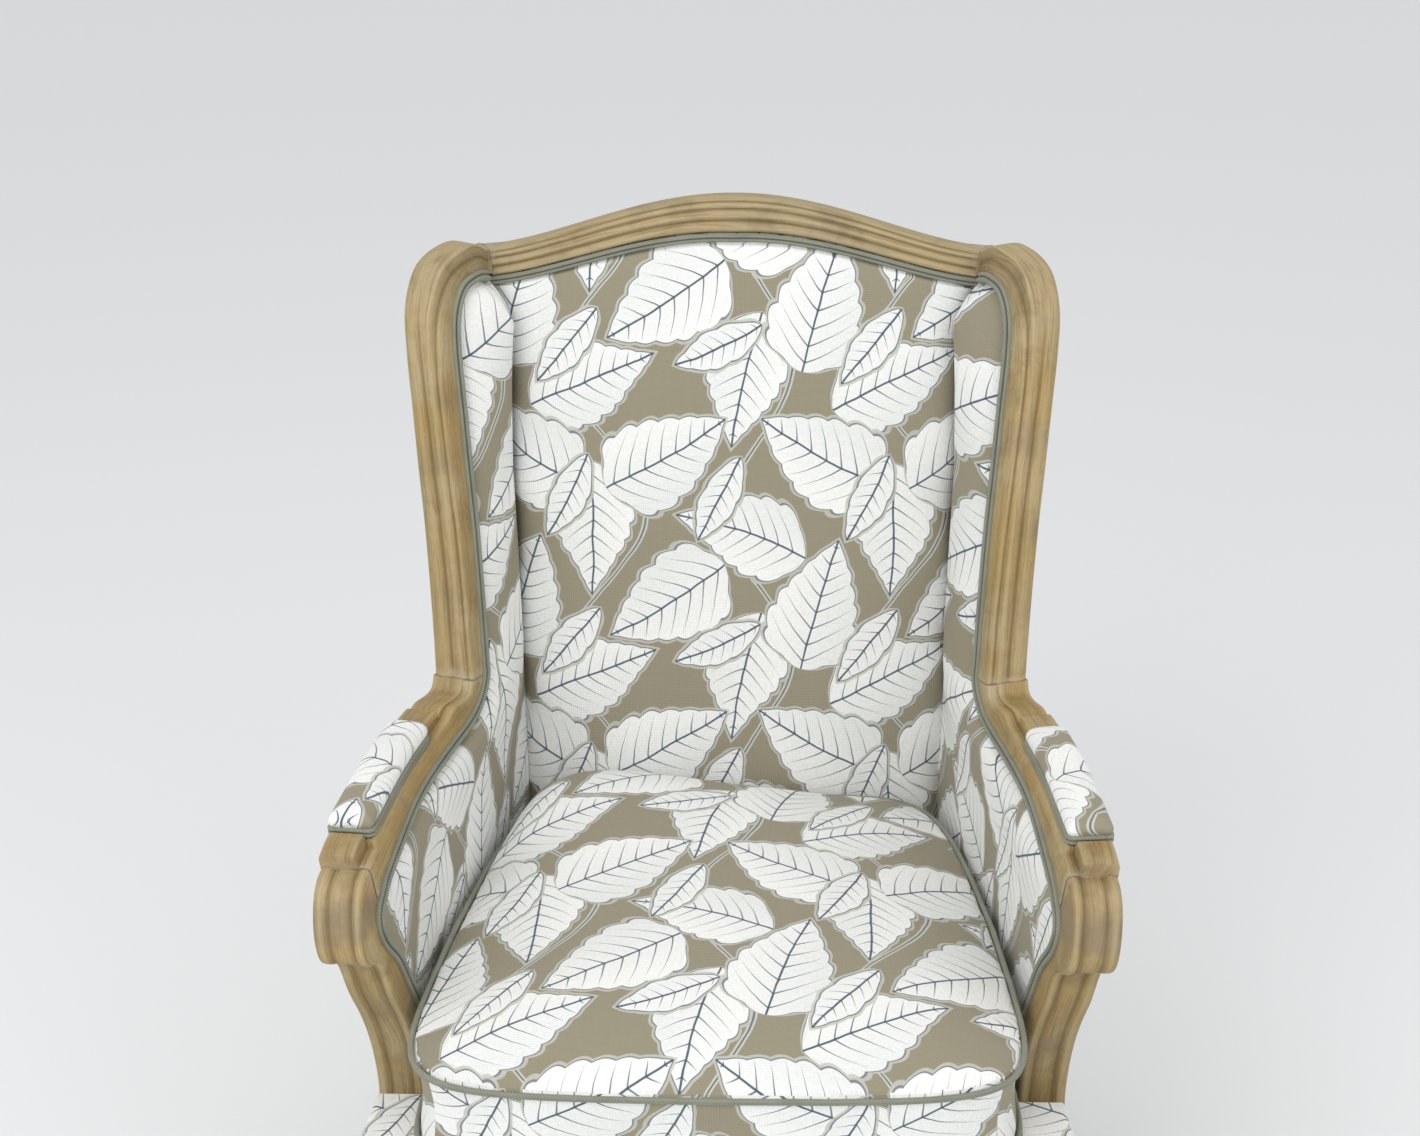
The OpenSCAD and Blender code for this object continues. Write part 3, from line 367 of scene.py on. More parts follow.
corner_z = chair_h - crest_rise
crest_end = 0.73 * crest_h
back_pad_t = 0.020
crest_half = post_x(corner_z) - 0.29 * face_w
seat_post_y = back_y(rail_top)
wing_h = wing_top - arm_top
post_top = min(crest_low(crest_half), arm_top + 0.957 * wing_h) - gap
for side, side_name in sides:
    rings = []
    for t in np.linspace(0, 1, 15):
        z = mix(glide_h, rail_bottom, t)
        w, d = mix(rear_foot_w, post_w, t ** 0.5), mix(rear_foot_w, post_d, t)
        y = seat_post_y + kick * (1 - t) ** 1.4
        rings.append(rounded_box(side * post_centre(rail_top), y + d / 2, z, w, d, 0.003))
    for z in (rail_top, mix(rail_top, arm_top, 0.5), arm_top, mix(arm_top, post_top, 0.5),
              post_top):
        rings.append(rounded_box(side * post_centre(z), back_y(z) + post_d / 2, z, post_w,
                                 post_d, 0.003))
    carve("rear_post", rings, wood_of_posts, (side, 0), side_name)

# Seat rails: moulded beech rails between the legs. The front one is serpentine, with a
# shaped lower edge, the side ones follow the sides' curve, and the rear one is plain.
splay_low, splay_top, splay_power = 0.19, 0.66, 2.12
bend_ahead = 2.1 * 0.133
bend_soft = bend_ahead / 3
arm_front_z = arm_top - 0.12 * (arm_top - rail_top)
arm_reach = chair_d / 2 + back_y(arm_front_z) - 0.110


def splay(z):
    """How much the sides spread for each metre ahead of the rear posts, at a height."""
    share = max(0, (z - rail_top) / (wing_top - rail_top))
    return splay_low + (splay_top - splay_low) * share ** splay_power


def past_bend(a):
    """How far ahead of the side's soft bend a place is."""
    if a < bend_ahead - bend_soft:
        return 0
    if a > bend_ahead + bend_soft:
        return a - bend_ahead
    return (a - bend_ahead + bend_soft) ** 2 / (4 * bend_soft)


front_splay = ((chair_w / 2 - post_x(arm_front_z) - splay(arm_front_z) * bend_ahead)
               / (arm_reach - bend_ahead))


def out_x(a, z):
    """Half the chair's width at a distance ahead of the rear posts and at a height."""
    return post_x(z) + splay(z) * (a - past_bend(a)) + front_splay * past_bend(a)


def on_side(a, z):
    """A point of the side's outer surface: ahead of the rear posts, and its height."""
    return np.array([out_x(a, z), back_y(z) - a, z])


def side_normal(a, z):
    """The level direction straight out of the side."""
    probe = 0.0005
    n = np.cross(on_side(a, z + probe) - on_side(a, z - probe),
                 on_side(a + probe, z) - on_side(a - probe, z))
    return unit([n[0], n[1], 0])


def turned(points, side):
    """Points of the right-hand side, mirrored where side is -1."""
    return np.asarray(points, float) * np.array([side, 1, 1])


leg_block = 0.058
front_inset = 0.004
leg_front = -chair_d / 2 + rail_bow - front_inset
leg_rear = leg_front + leg_block
leg_x = out_x(seat_post_y - leg_front - leg_block / 2, rail_top) - leg_block / 2
rail_slant = math.sqrt(1 + splay_low ** 2)
rail_section = np.array([
    [-1, -1], [-1, 1], [0.7, 1], [0.9, 0.98], [1, 0.88], [1, -0.5], [0.97, -0.54],
    [0.84, -0.57], [0.79, -0.61], [0.84, -0.66], [0.95, -0.7], [0.99, -0.76], [0.99, -0.84],
    [0.93, -0.92], [0.8, -1]])
# marks above 0 paint shade into a groove: here into the groove and along the lower edge
rail_marks = [0, 0, 0, 0, 0, 0, 0.2, 0.7, 1, 0.7, 0.2, 0, 0, 0, 0.3]


def side_rail_ring(a, y=None):
    n = side_normal(a, rail_top)
    base = np.array([out_x(a, rail_top), seat_post_y - a, 0])
    ring = []
    for q in rail_section:
        p = base - n * (1 - q[0]) / 2 * rail_t
        ring.append((p[0], p[1] if y is None else y, rail_top + (q[1] - 1) / 2 * rail_h))
    return ring


side_rail_front = seat_post_y - leg_rear
for side, side_name in sides:
    rings = [side_rail_ring(0, seat_post_y - glue)]
    rings += [side_rail_ring(side_rail_front * t) for t in np.linspace(0.03, 0.97, 20)]
    rings.append(side_rail_ring(side_rail_front, leg_rear + glue))
    carve("side_rail", turned(rings, side), wood_of_posts, (side, 1), side_name, marks=rail_marks)

front_rail_half = leg_x - leg_block / 2 - glue


def bow(x):
    """How far the front rail swells forwards, across the chair."""
    return rail_bow * (1 + math.cos(math.pi * min(1, abs(x) / front_rail_half))) / 2


rings = []
for x in np.linspace(-front_rail_half, front_rail_half, 61):
    tall = rail_h + apron_drop * math.cos(2 * math.pi * min(1, abs(x) / front_rail_half))
    rings.append([(x, leg_front + front_inset - bow(x) + (1 - q[0]) / 2 * rail_t,
                   rail_top + (q[1] - 1) / 2 * tall) for q in rail_section])
carve("front_rail", rings, wood_of_posts, (4, 0), marks=rail_marks)


def post_inner(z):
    return post_centre(z) - post_w / 2


rear_half = post_inner(rail_top) - glue
rear_y = seat_post_y + post_d / 2
rings = [[(x, rear_y - p[0], (rail_top + rail_bottom) / 2 + p[1])
          for p in rounded_box(0, 0, 0, rail_t, rail_h, 0.003)]
         for x in np.linspace(-rear_half, rear_half, 9)]
carve("rear_rail", rings, wood_of_posts, (5, 0))

# Inner frame: a planed rail between the posts below the back, and four glued corner blocks
# with wood screws. They are bare beech, sawn and planed, and the upholstery hides them.
# dry planed beech: a plain pale tan, matt, with a faint straight grain
bare_beech, tree, shader = new_finish("bare planed beech", Roughness=0.7)
solid = add(tree, "TexCoord", out="Object")
stretched = add(tree, "Mapping", {"Vector": solid, "Scale": (12, 90, 110)})
grain = add(tree, "TexNoise", {"Vector": stretched, "Scale": 1, "Detail": 5})
colour = washes(tree, linear("#c9a877"), [(grain, 0.35, 0.7, 1, linear("#a98455"))])
bump = add(tree, "Bump", {"Strength": 0.3, "Distance": 0.0005, "Height": grain})
set_inputs(shader, {"Base Color": colour, "Normal": bump})
# zinc plate: a light grey metal with a fine uneven sheen
zinc_steel, tree, shader = new_finish("zinc-plated steel", Roughness=0.38, Metallic=1.0,
                                      Base_Color=linear("#b4b5b3"))
solid = add(tree, "TexCoord", out="Object")
speck = add(tree, "TexNoise", {"Vector": solid, "Scale": 400, "Detail": 3})
rough = add(tree, "MapRange", [speck, 0.3, 0.7, 0.28, 0.5])
set_inputs(shader, {"Roughness": rough})
for node_name, made in (("lower_back_rail", bare_beech), ("corner_blocks", bare_beech),
                        ("block_screws", zinc_steel), ("foot_glides", zinc_steel)):
    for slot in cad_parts[node_name].material_slots:
        slot.material = made

# Front legs: turned out of square blocks into short cabriole legs, with a swelling knee on
# the diagonal, a slim ankle and a rounded foot that rests on a glide.
leg_shares = [(0.0, 1.0, 0.3, 0.10), (0.02, 1.0, 0.5, 0.14), (0.07, 0.93, 1.0, 0.2),
              (0.2, 0.66, 0.75, 0.3), (0.42, 0.28, 0.35, 0.3), (0.62, 0.05, 0.0, 0.32),
              (0.78, 0.0, 0.03, 0.34), (0.9, 0.2, 0.4, 0.36), (0.97, 1.0, 0.62, 0.38),
              (1.0, 0.9, 0.6, 0.4)]


def flow(points, steps):
    """A smooth line through points, with a whole number of steps between two of them."""
    p = np.asarray(points, float)
    n = len(p) - 1
    line = []
    for i in range(n):
        a, b, c, d = p[max(i - 1, 0)], p[i], p[i + 1], p[min(i + 2, n)]
        for t in np.arange(steps) / steps:
            line.append(0.5 * (2 * b + (c - a) * t + (2 * a - 5 * b + 4 * c - d) * t * t
                               + (3 * b - a - 3 * c + d) * t * t * t))
    return np.array(line + [p[n]])


knee_out, ankle_w, foot_w = 0.009, 0.030, 0.042
for side, side_name in sides:
    rings = [rounded_box(leg_x, leg_front + leg_block / 2, z, leg_block, leg_block, 0.004)
             for z in (rail_top, rail_top - 0.5 * rail_h, rail_bottom)]
    for down, swell, shift_share, round_share in flow(leg_shares, 4)[1:]:
        z = rail_bottom - down * (rail_bottom - glide_h)
        w = mix(ankle_w, leg_block + 0.002 if down < 0.8 else foot_w, max(0, swell))
        s = knee_out * (shift_share - 0.3)
        rings.append(rounded_box(leg_x + s, leg_front + leg_block / 2 - s, z, w, w,
                                 w * round_share))
    carve("front_leg", turned(rings, side), wood_of_posts, (side, 3), side_name)

# Arm supports: scrolled arm fronts, band-sawn, carved with a raised bead along the inner
# edge and a hollow down the middle, and rounded over at the knuckle that the hand holds.
def placed(shares, reach, bottom, top):
    """Rows of (ahead, height, ahead, height) in metres, from shares of a reach and of the way
    from bottom to top."""
    return np.asarray(shares) * ([reach, top - bottom] * 2) + [0, bottom, 0, bottom]


wood_of_arms = limed_wood("limed beech, arms and supports", 3.7, 0.6, 0.75)
support_shares = np.array([
    [0.908, 0.946, 0.874, 0.841], [0.935, 0.941, 0.891, 0.832], [0.967, 0.914, 0.906, 0.816],
    [0.990, 0.866, 0.915, 0.793], [1.002, 0.807, 0.913, 0.758], [0.997, 0.750, 0.902, 0.720],
    [0.974, 0.714, 0.884, 0.682], [0.939, 0.688, 0.861, 0.640], [0.913, 0.642, 0.837, 0.584],
    [0.884, 0.530, 0.802, 0.479], [0.841, 0.416, 0.762, 0.375], [0.808, 0.308, 0.728, 0.270],
    [0.786, 0.200, 0.704, 0.175], [0.776, 0.098, 0.695, 0.086], [0.787, 0.0, 0.691, 0.0]])
support_knots = placed(support_shares, arm_reach, rail_top, arm_top)
support_rows = flow(support_knots, 5)
support_section = np.array([
    [-1, -1], [-1, 0.70], [-0.99, 0.84], [-0.94, 0.95], [-0.86, 1.0], [-0.76, 1.0],
    [-0.68, 0.96], [-0.61, 0.90], [-0.55, 0.86], [-0.48, 0.85], [-0.3, 0.875], [-0.1, 0.89],
    [0.1, 0.89], [0.26, 0.87], [0.36, 0.855], [0.44, 0.87], [0.50, 0.92], [0.57, 0.97],
    [0.68, 1.0], [0.80, 0.985], [0.90, 0.93], [0.97, 0.82], [1, 0.62], [1, -1]])
support_marks = [0, 0, 0, -0.2, -0.6, -0.5, 0, 0.5, 1, 0.7, 0.2, 0, 0, 0.4, 0.9, 0.6, 0,
                 -0.4, -0.6, -0.3, 0, 0, 0, 0]


def show_ring(row, section, width, inset):
    """A ring of show wood: from its inner edge to its outer edge, and across the side."""
    outer, inner = on_side(row[0], row[1]), on_side(row[2], row[3])
    across = side_normal((row[0] + row[2]) / 2, (row[1] + row[3]) / 2)
    return [mix(inner, outer, (q[1] + 1) / 2) - across * (inset + (1 - q[0]) / 2 * width)
            for q in section]


for side, side_name in sides:
    rings = [show_ring(r, support_section, face_w - 0.001, 0) for r in support_rows]
    carve("arm_support", turned(rings, side), wood_of_arms, (side, 5), side_name,
          marks=support_marks,
          seams=[0 if q[1] > 0.8 and abs(q[0]) < 0.9 else 1 for q in support_section])

# Wings: shaped rails with two run grooves and a broad rounded outer edge. They flare
# outwards as they rise and curl over into the mitre with the crest.
wood_of_wings = limed_wood("limed beech, wings and crest", 8.3, 0.62, 0.4)
wing_reach = 0.133
wing_shares = np.array([
    [0.05, 0.957, 0.09, 0.89], [0.27, 1.0, 0.25, 0.93], [0.58, 0.97, 0.44, 0.92],
    [0.76, 0.884, 0.575, 0.862], [0.83, 0.780, 0.64, 0.773], [0.875, 0.652, 0.68, 0.646],
    [0.92, 0.509, 0.725, 0.503], [0.955, 0.373, 0.76, 0.363], [1.005, 0.231, 0.81, 0.221],
    [1.065, 0.09, 0.865, 0.08], [1.105, 0.016, 0.895, 0.004]])
# at the mitre the top stays level with the crest's, and the carved inner edge with its foot
wing_shares[0, [1, 3]] = 0.968, 0.912
wing_knots = placed(wing_shares, wing_reach, arm_top, wing_top)
wing_rows = flow(wing_knots, 8)
wing_section = np.array([
    [-1, -1], [-1, 0.5], [-0.99, 0.72], [-0.95, 0.86], [-0.88, 0.93], [-0.80, 0.925],
    [-0.74, 0.88], [-0.70, 0.845], [-0.66, 0.86], [-0.60, 0.93], [-0.52, 0.985],
    [-0.42, 1.0], [-0.30, 0.99], [-0.18, 0.945], [-0.08, 0.885], [0, 0.85], [0.06, 0.855],
    [0.13, 0.915], [0.22, 0.97], [0.36, 0.995], [0.52, 0.97], [0.68, 0.90], [0.82, 0.76],
    [0.92, 0.55], [0.98, 0.3], [1, 0], [1, -0.5], [1, -1]])
wing_marks = [0, 0, 0, 0, -0.5, -0.2, 0.5, 1, 0.6, 0.1, -0.4, -0.6, -0.3, 0, 0.4, 1, 0.8, 0.2,
              -0.3, -0.5, -0.3, 0, 0, 0, 0, 0, 0, 0]
# near the mitre the grooves die out: a plain flat top, and one bead along the inner side
wing_end_section = np.array([
    [-1, -1], [-1, -0.6], [-0.99, -0.35], [-0.965, -0.15], [-0.92, 0.0], [-0.85, 0.07],
    [-0.83, 0.15], [-0.86, 0.25], [-0.85, 0.50], [-0.79, 0.86], [-0.75, 0.97], [-0.70, 1.0],
    [-0.58, 1.0], [-0.40, 1.0], [-0.23, 1.0], [-0.08, 1.0], [0.05, 1.0], [0.17, 1.0],
    [0.30, 1.0], [0.43, 0.99], [0.57, 0.97], [0.70, 0.93], [0.82, 0.84], [0.91, 0.70],
    [0.97, 0.5], [1, 0.2], [1, -0.4], [1, -1]])
# on the inner side these marks paint shade over the whole face, and paint its top arris and the
# outer rounding paler, with wear and a painted highlight
wing_end_marks = [0.6, 0.6, 0.6, 0.7, 0.9, 1, 1, 0.8, 0.7, 0.6, -0.3, -0.4, 0, 0, 0, 0, 0, 0, 0, 0,
                  0, 0, -0.3, -0.3, 0, 0, 0, 0]


plain_rows, settling_rows, end_slimming = 12, 30, 0.0135


def settled(i):
    """How far the wing's grooves have come out, row by row from the mitre."""
    t = min(1, max(0, (i - plain_rows) / settling_rows))
    return t * t * (3 - 2 * t)


def slim(i):
    """How much narrower the wing is than the other show wood, row by row from the mitre."""
    return end_slimming * max(0, 1 - i / plain_rows) ** 1.5


mitre_at = np.array([crest_half, back_y(corner_z) + (post_d - back_pad_t) / 2,
                     corner_z - crest_end / 2])
mitre_angle = math.radians(22)
mitre_way = np.array([math.cos(mitre_angle), -math.sin(mitre_angle), 0])
spread = 0.0195 * np.array([-mitre_way[1], mitre_way[0], -0.25])


def to_mitre(p, way, clear):
    """A point moved along a piece's length onto the mitre's plane."""
    return p + way * (((mitre_at - p) @ mitre_way + clear) / (way @ mitre_way))


wing_way = on_side(*wing_rows[8][:2]) - on_side(*wing_rows[0][:2])
wing_way = unit([wing_way[0], wing_way[1], 0])
for side, side_name in sides:
    rings = [show_ring(r, mix(wing_end_section, wing_section, settled(i)), face_w - slim(i), 0)
             for i, r in enumerate(wing_rows)]
    # at the mitre the wing's back spreads to the crest's
    rings[0] = [to_mitre(p, wing_way, glue) + spread * (q[0] + 1) / 2
                for p, q in zip(rings[0], wing_end_section)]
    carve("wing_rail", turned(rings, side), wood_of_wings, (side, 7), side_name,
          marks=[mix(np.array(wing_end_marks), np.array(wing_marks), settled(i))
                 for i in range(len(wing_rows))])

# Arms: shaped rails with a recess for the pad, a small block behind it and a stop block in
# front, sanded over at the edges. A hidden tail runs inside the side to the rear post.
arm_d, arm_fall, pad_recess, step_run = 0.028, 0.010, 0.008, 0.001
arm_bottom = arm_top - arm_d
pad_rear, pad_front = 0.462 * arm_reach, 0.843 * arm_reach
stop_rear, stop_front = 0.396 * arm_reach, 0.906 * arm_reach
arm_rear = np.array([[0.286, -0.10, 0.242, 0.56], [0.318, -0.12, 0.280, 0.2],
                     [0.360, -0.03, 0.325, 0.05]])
arm_rear = arm_rear * [arm_reach, arm_d, arm_reach, arm_d] + [0, arm_top, 0, arm_bottom]


def arm_row(a, top, under):
    return [a, arm_top + top, a - pad_recess / 2, arm_bottom + under]


# each row: the inner shoulder's edges, and how far the outer part stands above the shoulder
arm_bend = flow(np.vstack([wing_knots[-1:], arm_rear,
                           [arm_row(stop_rear - step_run, -0.7 * pad_recess, 0)]]), 6)
arm_plan = [(row, 0.5 * pad_recess * (i / (len(arm_bend) - 1)) ** 2)
            for i, row in enumerate(arm_bend)]
for a, top, under, lift in (
        (stop_rear, -0.7 * pad_recess, 0, 1.2 * pad_recess),
        (pad_rear - step_run, -pad_recess, 0, 1.5 * pad_recess),
        (pad_rear, -pad_recess, 0, 0),
        (mix(pad_rear, pad_front, 1 / 3), -pad_recess - 0.11 * arm_fall, -0.11 * arm_fall,
         0.11 * arm_fall),
        (mix(pad_rear, pad_front, 2 / 3), -pad_recess - 0.4 * arm_fall, -0.65 * arm_fall,
         0.4 * arm_fall),
        (pad_front - step_run, -pad_recess - 0.75 * arm_fall, -1.5 * arm_fall, 0.75 * arm_fall),
        (pad_front, -pad_recess - 0.75 * arm_fall, -1.5 * arm_fall, 1.8 * pad_recess),
        (mix(pad_front, stop_front, 0.5), -pad_recess - 0.8 * arm_fall, -1.8 * arm_fall,
         1.75 * pad_recess),
        (stop_front, -pad_recess - 0.9 * arm_fall, -2 * arm_fall, 1.5 * pad_recess)):
    start_row, start_lift = arm_plan[-1]
    runs = 1 if a - start_row[0] < 2 * step_run else 5
    arm_plan += [(mix(start_row, np.array(arm_row(a, top, under)), (i + 1) / runs),
                  mix(start_lift, lift, (i + 1) / runs)) for i in range(runs)]
# across, up, and the share of the lift that a point takes
arm_section = np.array([
    [-1, -1, 0], [-1, 0.5, 0], [-0.985, 0.75, 0], [-0.93, 0.91, 0], [-0.84, 0.98, 0],
    [-0.72, 1, 0], [-0.58, 1, 0], [-0.50, 0.99, 0], [-0.485, 0.99, 0.1], [-0.475, 0.99, 0.75],
    [-0.45, 1, 0.93], [-0.40, 1, 1], [-0.1, 1, 1], [0.3, 1, 1], [0.7, 1, 1], [0.84, 0.98, 1],
    [0.93, 0.91, 0.98], [0.985, 0.75, 0.9], [1, 0.5, 0.5], [1, -1, 0]])
arm_marks = [0, 0, 0, -0.3, -0.6, -0.3, 0, 0.8, 0.9, 0.2, -0.4, -0.6, 0, 0, -0.2, -0.5, -0.6,
             -0.3, 0, 0]
# under the pad the arm is level almost to its inner edge
bed_edge, bed_slope = -0.93, 0.12
for side, side_name in sides:
    rings = []
    for row, lift in arm_plan:
        rise = on_side(row[0], row[1]) - on_side(row[2], row[3])
        under_pad = pad_rear - 0.5 * step_run < row[0] < pad_front - 0.5 * step_run
        rings.append([p + unit(rise) * lift * (np.clip((q[0] - bed_edge) / bed_slope, 0, 1)
                                               if under_pad and q[1] > 0.9 else q[2])
                      for p, q in zip(show_ring(row, arm_section, face_w, 0), arm_section)])
    arm = carve("arm", turned(rings, side), wood_of_arms, (side, 9), side_name, crease=30,
                marks=arm_marks, seams=1 - arm_section[:, 2])
    soften = arm.modifiers.new("sanded edges", "BEVEL")
    soften.width = 0.0014
    soften.segments = 2
    soften.limit_method = "ANGLE"
    soften.angle_limit = math.radians(40)

# Crest: the moulded camel-back top rail, with three run grooves and a rounded top. Its ends
# are cut to a mitre with the wings.
crest_d = post_d + back_pad_t
crest_section = np.array([
    [0.70, -1], [0.88, -0.96], [0.97, -0.86], [1, -0.72], [0.99, -0.56], [0.95, -0.42],
    [0.89, -0.33], [0.855, -0.25], [0.88, -0.15], [0.935, -0.03], [0.95, 0.08],
    [0.93, 0.20], [0.87, 0.31], [0.81, 0.39], [0.775, 0.45], [0.78, 0.53], [0.80, 0.62],
    [0.785, 0.70], [0.73, 0.77], [0.64, 0.81], [0.57, 0.825], [0.53, 0.87], [0.45, 0.94],
    [0.32, 0.98], [0.12, 1.0], [-0.15, 1.0], [-0.45, 0.96], [-0.7, 0.88], [-0.88, 0.74],
    [-0.97, 0.5], [-1, 0.2], [-1, -1]])
crest_marks = [0.3, 0, -0.4, -0.6, -0.4, 0, 0.5, 1, 0.5, -0.2, -0.6, -0.2, 0.3, 0.8, 1, 0.3,
               -0.5, -0.4, 0.2, 0.8, 1, 0.4, -0.2, -0.4, -0.3, 0, 0, 0, 0, 0, 0, 0]


def crest_ring(x):
    h = crest_height(x)
    zc = crest_top(x) - h / 2
    yc = back_y(zc) + (post_d - back_pad_t) / 2
    return [np.array([x, yc - q[0] * crest_d / 2, zc + q[1] * h / 2]) for q in crest_section]


end = np.array([to_mitre(p, np.array([1.0, 0, 0]), -glue) for p in crest_ring(crest_half)])
rings = [turned(end, -1)] + [crest_ring(x) for x in
                             np.linspace(-0.93, 0.93, 75) * crest_half] + [end]
carve("crest_rail", rings, wood_of_wings, (11, 0), marks=crest_marks)

# Webbing: woven jute strips, stretched over and under each other across the seat and the
# back, and tacked to the frame at both ends.
jute, tree, shader = new_finish("woven jute webbing", Roughness=0.9)
place = add(tree, "UVMap", uv_map="Grain")
# matt and coarse, in light and dark brown, with threads 3 mm apart: about twice as coarse as
# real ones, so that they show
warp = add(tree, "TexWave", {"Vector": place, "Scale": 105, "Distortion": 0.6},
           bands_direction="Y")
weft = add(tree, "TexWave", {"Vector": place, "Scale": 90, "Distortion": 0.8}, bands_direction="X")
weave = add(tree, "Math", [warp, weft], operation="MULTIPLY")
colour = add(tree, "Mix", {share_in: weave, under_in: linear("#6f5b3c"),
                           over_in: linear("#a68f66")}, out=2, data_type="RGBA")
bump = add(tree, "Bump", {"Strength": 0.6, "Distance": 0.0006, "Height": weave})
set_inputs(shader, {"Base Color": colour, "Normal": bump})
web_w, web_t = 0.050, 0.0012
web_lift = web_t + 0.00015
web_stack = web_t + web_lift
web_over = 0.020


def web_strip(start, stop, crossings, phase, place_of):
    """Rings of one strip, which rises over every other crossing. place_of turns (along,
    across, height) into a point."""
    half = web_w / 2 + web_t
    knots = [(start, 0)]
    for k, c in enumerate(crossings):
        knots += [(c - half, (k + phase) % 2 * web_lift), (c + half, (k + phase) % 2 * web_lift)]
    knots.append((stop, 0))
    xs, hs = zip(*knots)
    rings = []
    for x in np.linspace(start, stop, 60):
        h = np.interp(x, xs, hs)
        rings.append([place_of(x, p[0] * (web_w / 2), h + p[1] * web_t) for p in
                      ((-1, 0.1), (-0.98, 0), (0.98, 0), (1, 0.1), (1, 0.9), (0.98, 1),
                       (-0.98, 1), (-1, 0.9))])
    return rings


def joined(name, pieces):
    """Several meshes made one."""
    work = bmesh.new()
    for piece in pieces:
        work.from_mesh(piece.data)
    mesh = bpy.data.meshes.new(name)
    work.to_mesh(mesh)
    work.free()
    for piece in pieces:
        bpy.data.objects.remove(piece)
    return new_object(name, mesh)


def side_inner_x(y):
    return out_x(seat_post_y - y, rail_top) - rail_t * rail_slant


seat_xs = [i * 0.17 * back_w for i in range(-2, 3)]
seat_ys = [mix(leg_rear + 0.5 * web_w, seat_post_y - 0.9 * web_w, t)
           for t in (0, 0.38, 0.58, 0.79, 1)]
strips = []
for i, y in enumerate(seat_ys):
    x = side_inner_x(y - web_w / 2) + web_over
    strips.append(loft("strip", web_strip(
        -x, x, seat_xs, i % 2, lambda s, c, h, y=y: (s, y + c, rail_top + h))))
for i, x in enumerate(seat_xs):
    strips.append(loft("strip", web_strip(
        leg_front + web_over / 2, seat_post_y + web_over, seat_ys, (i + 1) % 2,
        lambda s, c, h, x=x: (x + c, s, rail_top + h))))
own(joined("seat_webbing_strips", strips), jute, "webbing", "frame", "seat_webbing")

deck_top = rail_top + 0.044
lower_rail_z = deck_top + 0.012
back_xs = [i * 0.26 * back_w for i in range(-1, 2)]
back_zs = [mix(lower_rail_z + 3 * web_w, post_top - 1.5 * web_w, i / 3) for i in range(4)]
slope = math.cos(lean_angle)
tilt = Matrix.Rotation(math.pi / 2 - lean_angle, 3, "X")
tilt_at = Vector((0, back_y(rail_top), rail_top))
strips = []
for i, z in enumerate(back_zs):
    x, s_z = post_inner(z) + web_over, (z - rail_top) / slope
    strips.append(loft("strip", web_strip(
        -x, x, back_xs, i % 2, lambda s, c, h, v=s_z: tilt @ Vector((s, v + c, h)) + tilt_at)))
for i, x in enumerate(back_xs):
    top = (crest_low(abs(x) + web_w / 2) - gap - rail_top) / slope
    strips.append(loft("strip", web_strip(
        (lower_rail_z - rail_top + web_over / 2) / slope, top,
        [(z - rail_top) / slope for z in back_zs], (i + 1) % 2,
        lambda s, c, h, x=x: tilt @ Vector((x + c, s, h)) + tilt_at)))
own(joined("back_webbing_strips", strips), jute, "webbing", "frame", "back_webbing")

# Printed linen: a heavy taupe union cloth with a large leaf print in white and slate. The
# leaves stand 165 mm apart and repeat every 330 mm.
leaf_step = 0.165
leaf_kinds = (
    # lattice shift, length, half width, outline shares, scallops, vein spacing, seed
    ((0.31, 0.12), 0.150, 0.047,
     ((0, 0), (0.1, 0.55), (0.3, 0.98), (0.5, 0.9), (0.75, 0.5), (1, 0)), 6, 0.017, 3),
    ((0.81, 0.62), 0.152, 0.052,
     ((0, 0), (0.06, 0.5), (0.25, 1), (0.45, 0.93), (0.7, 0.62), (0.9, 0.25), (1, 0)),
     5, 0.019, 11),
    ((0.47, 0.91), 0.104, 0.021,
     ((0, 0), (0.2, 0.7), (0.5, 1), (0.8, 0.6), (1, 0)), 4, 0.013, 23))


def new_group(name, kind, takes, gives):
    """An empty node group with its named inputs and outputs, each with its socket's kind."""
    group = bpy.data.node_groups.new(name, kind)
    for way, sockets in (("INPUT", takes), ("OUTPUT", gives)):
        for item, socket in sockets.items():
            group.interface.new_socket(item, in_out=way, socket_type="NodeSocket" + socket)
    return group


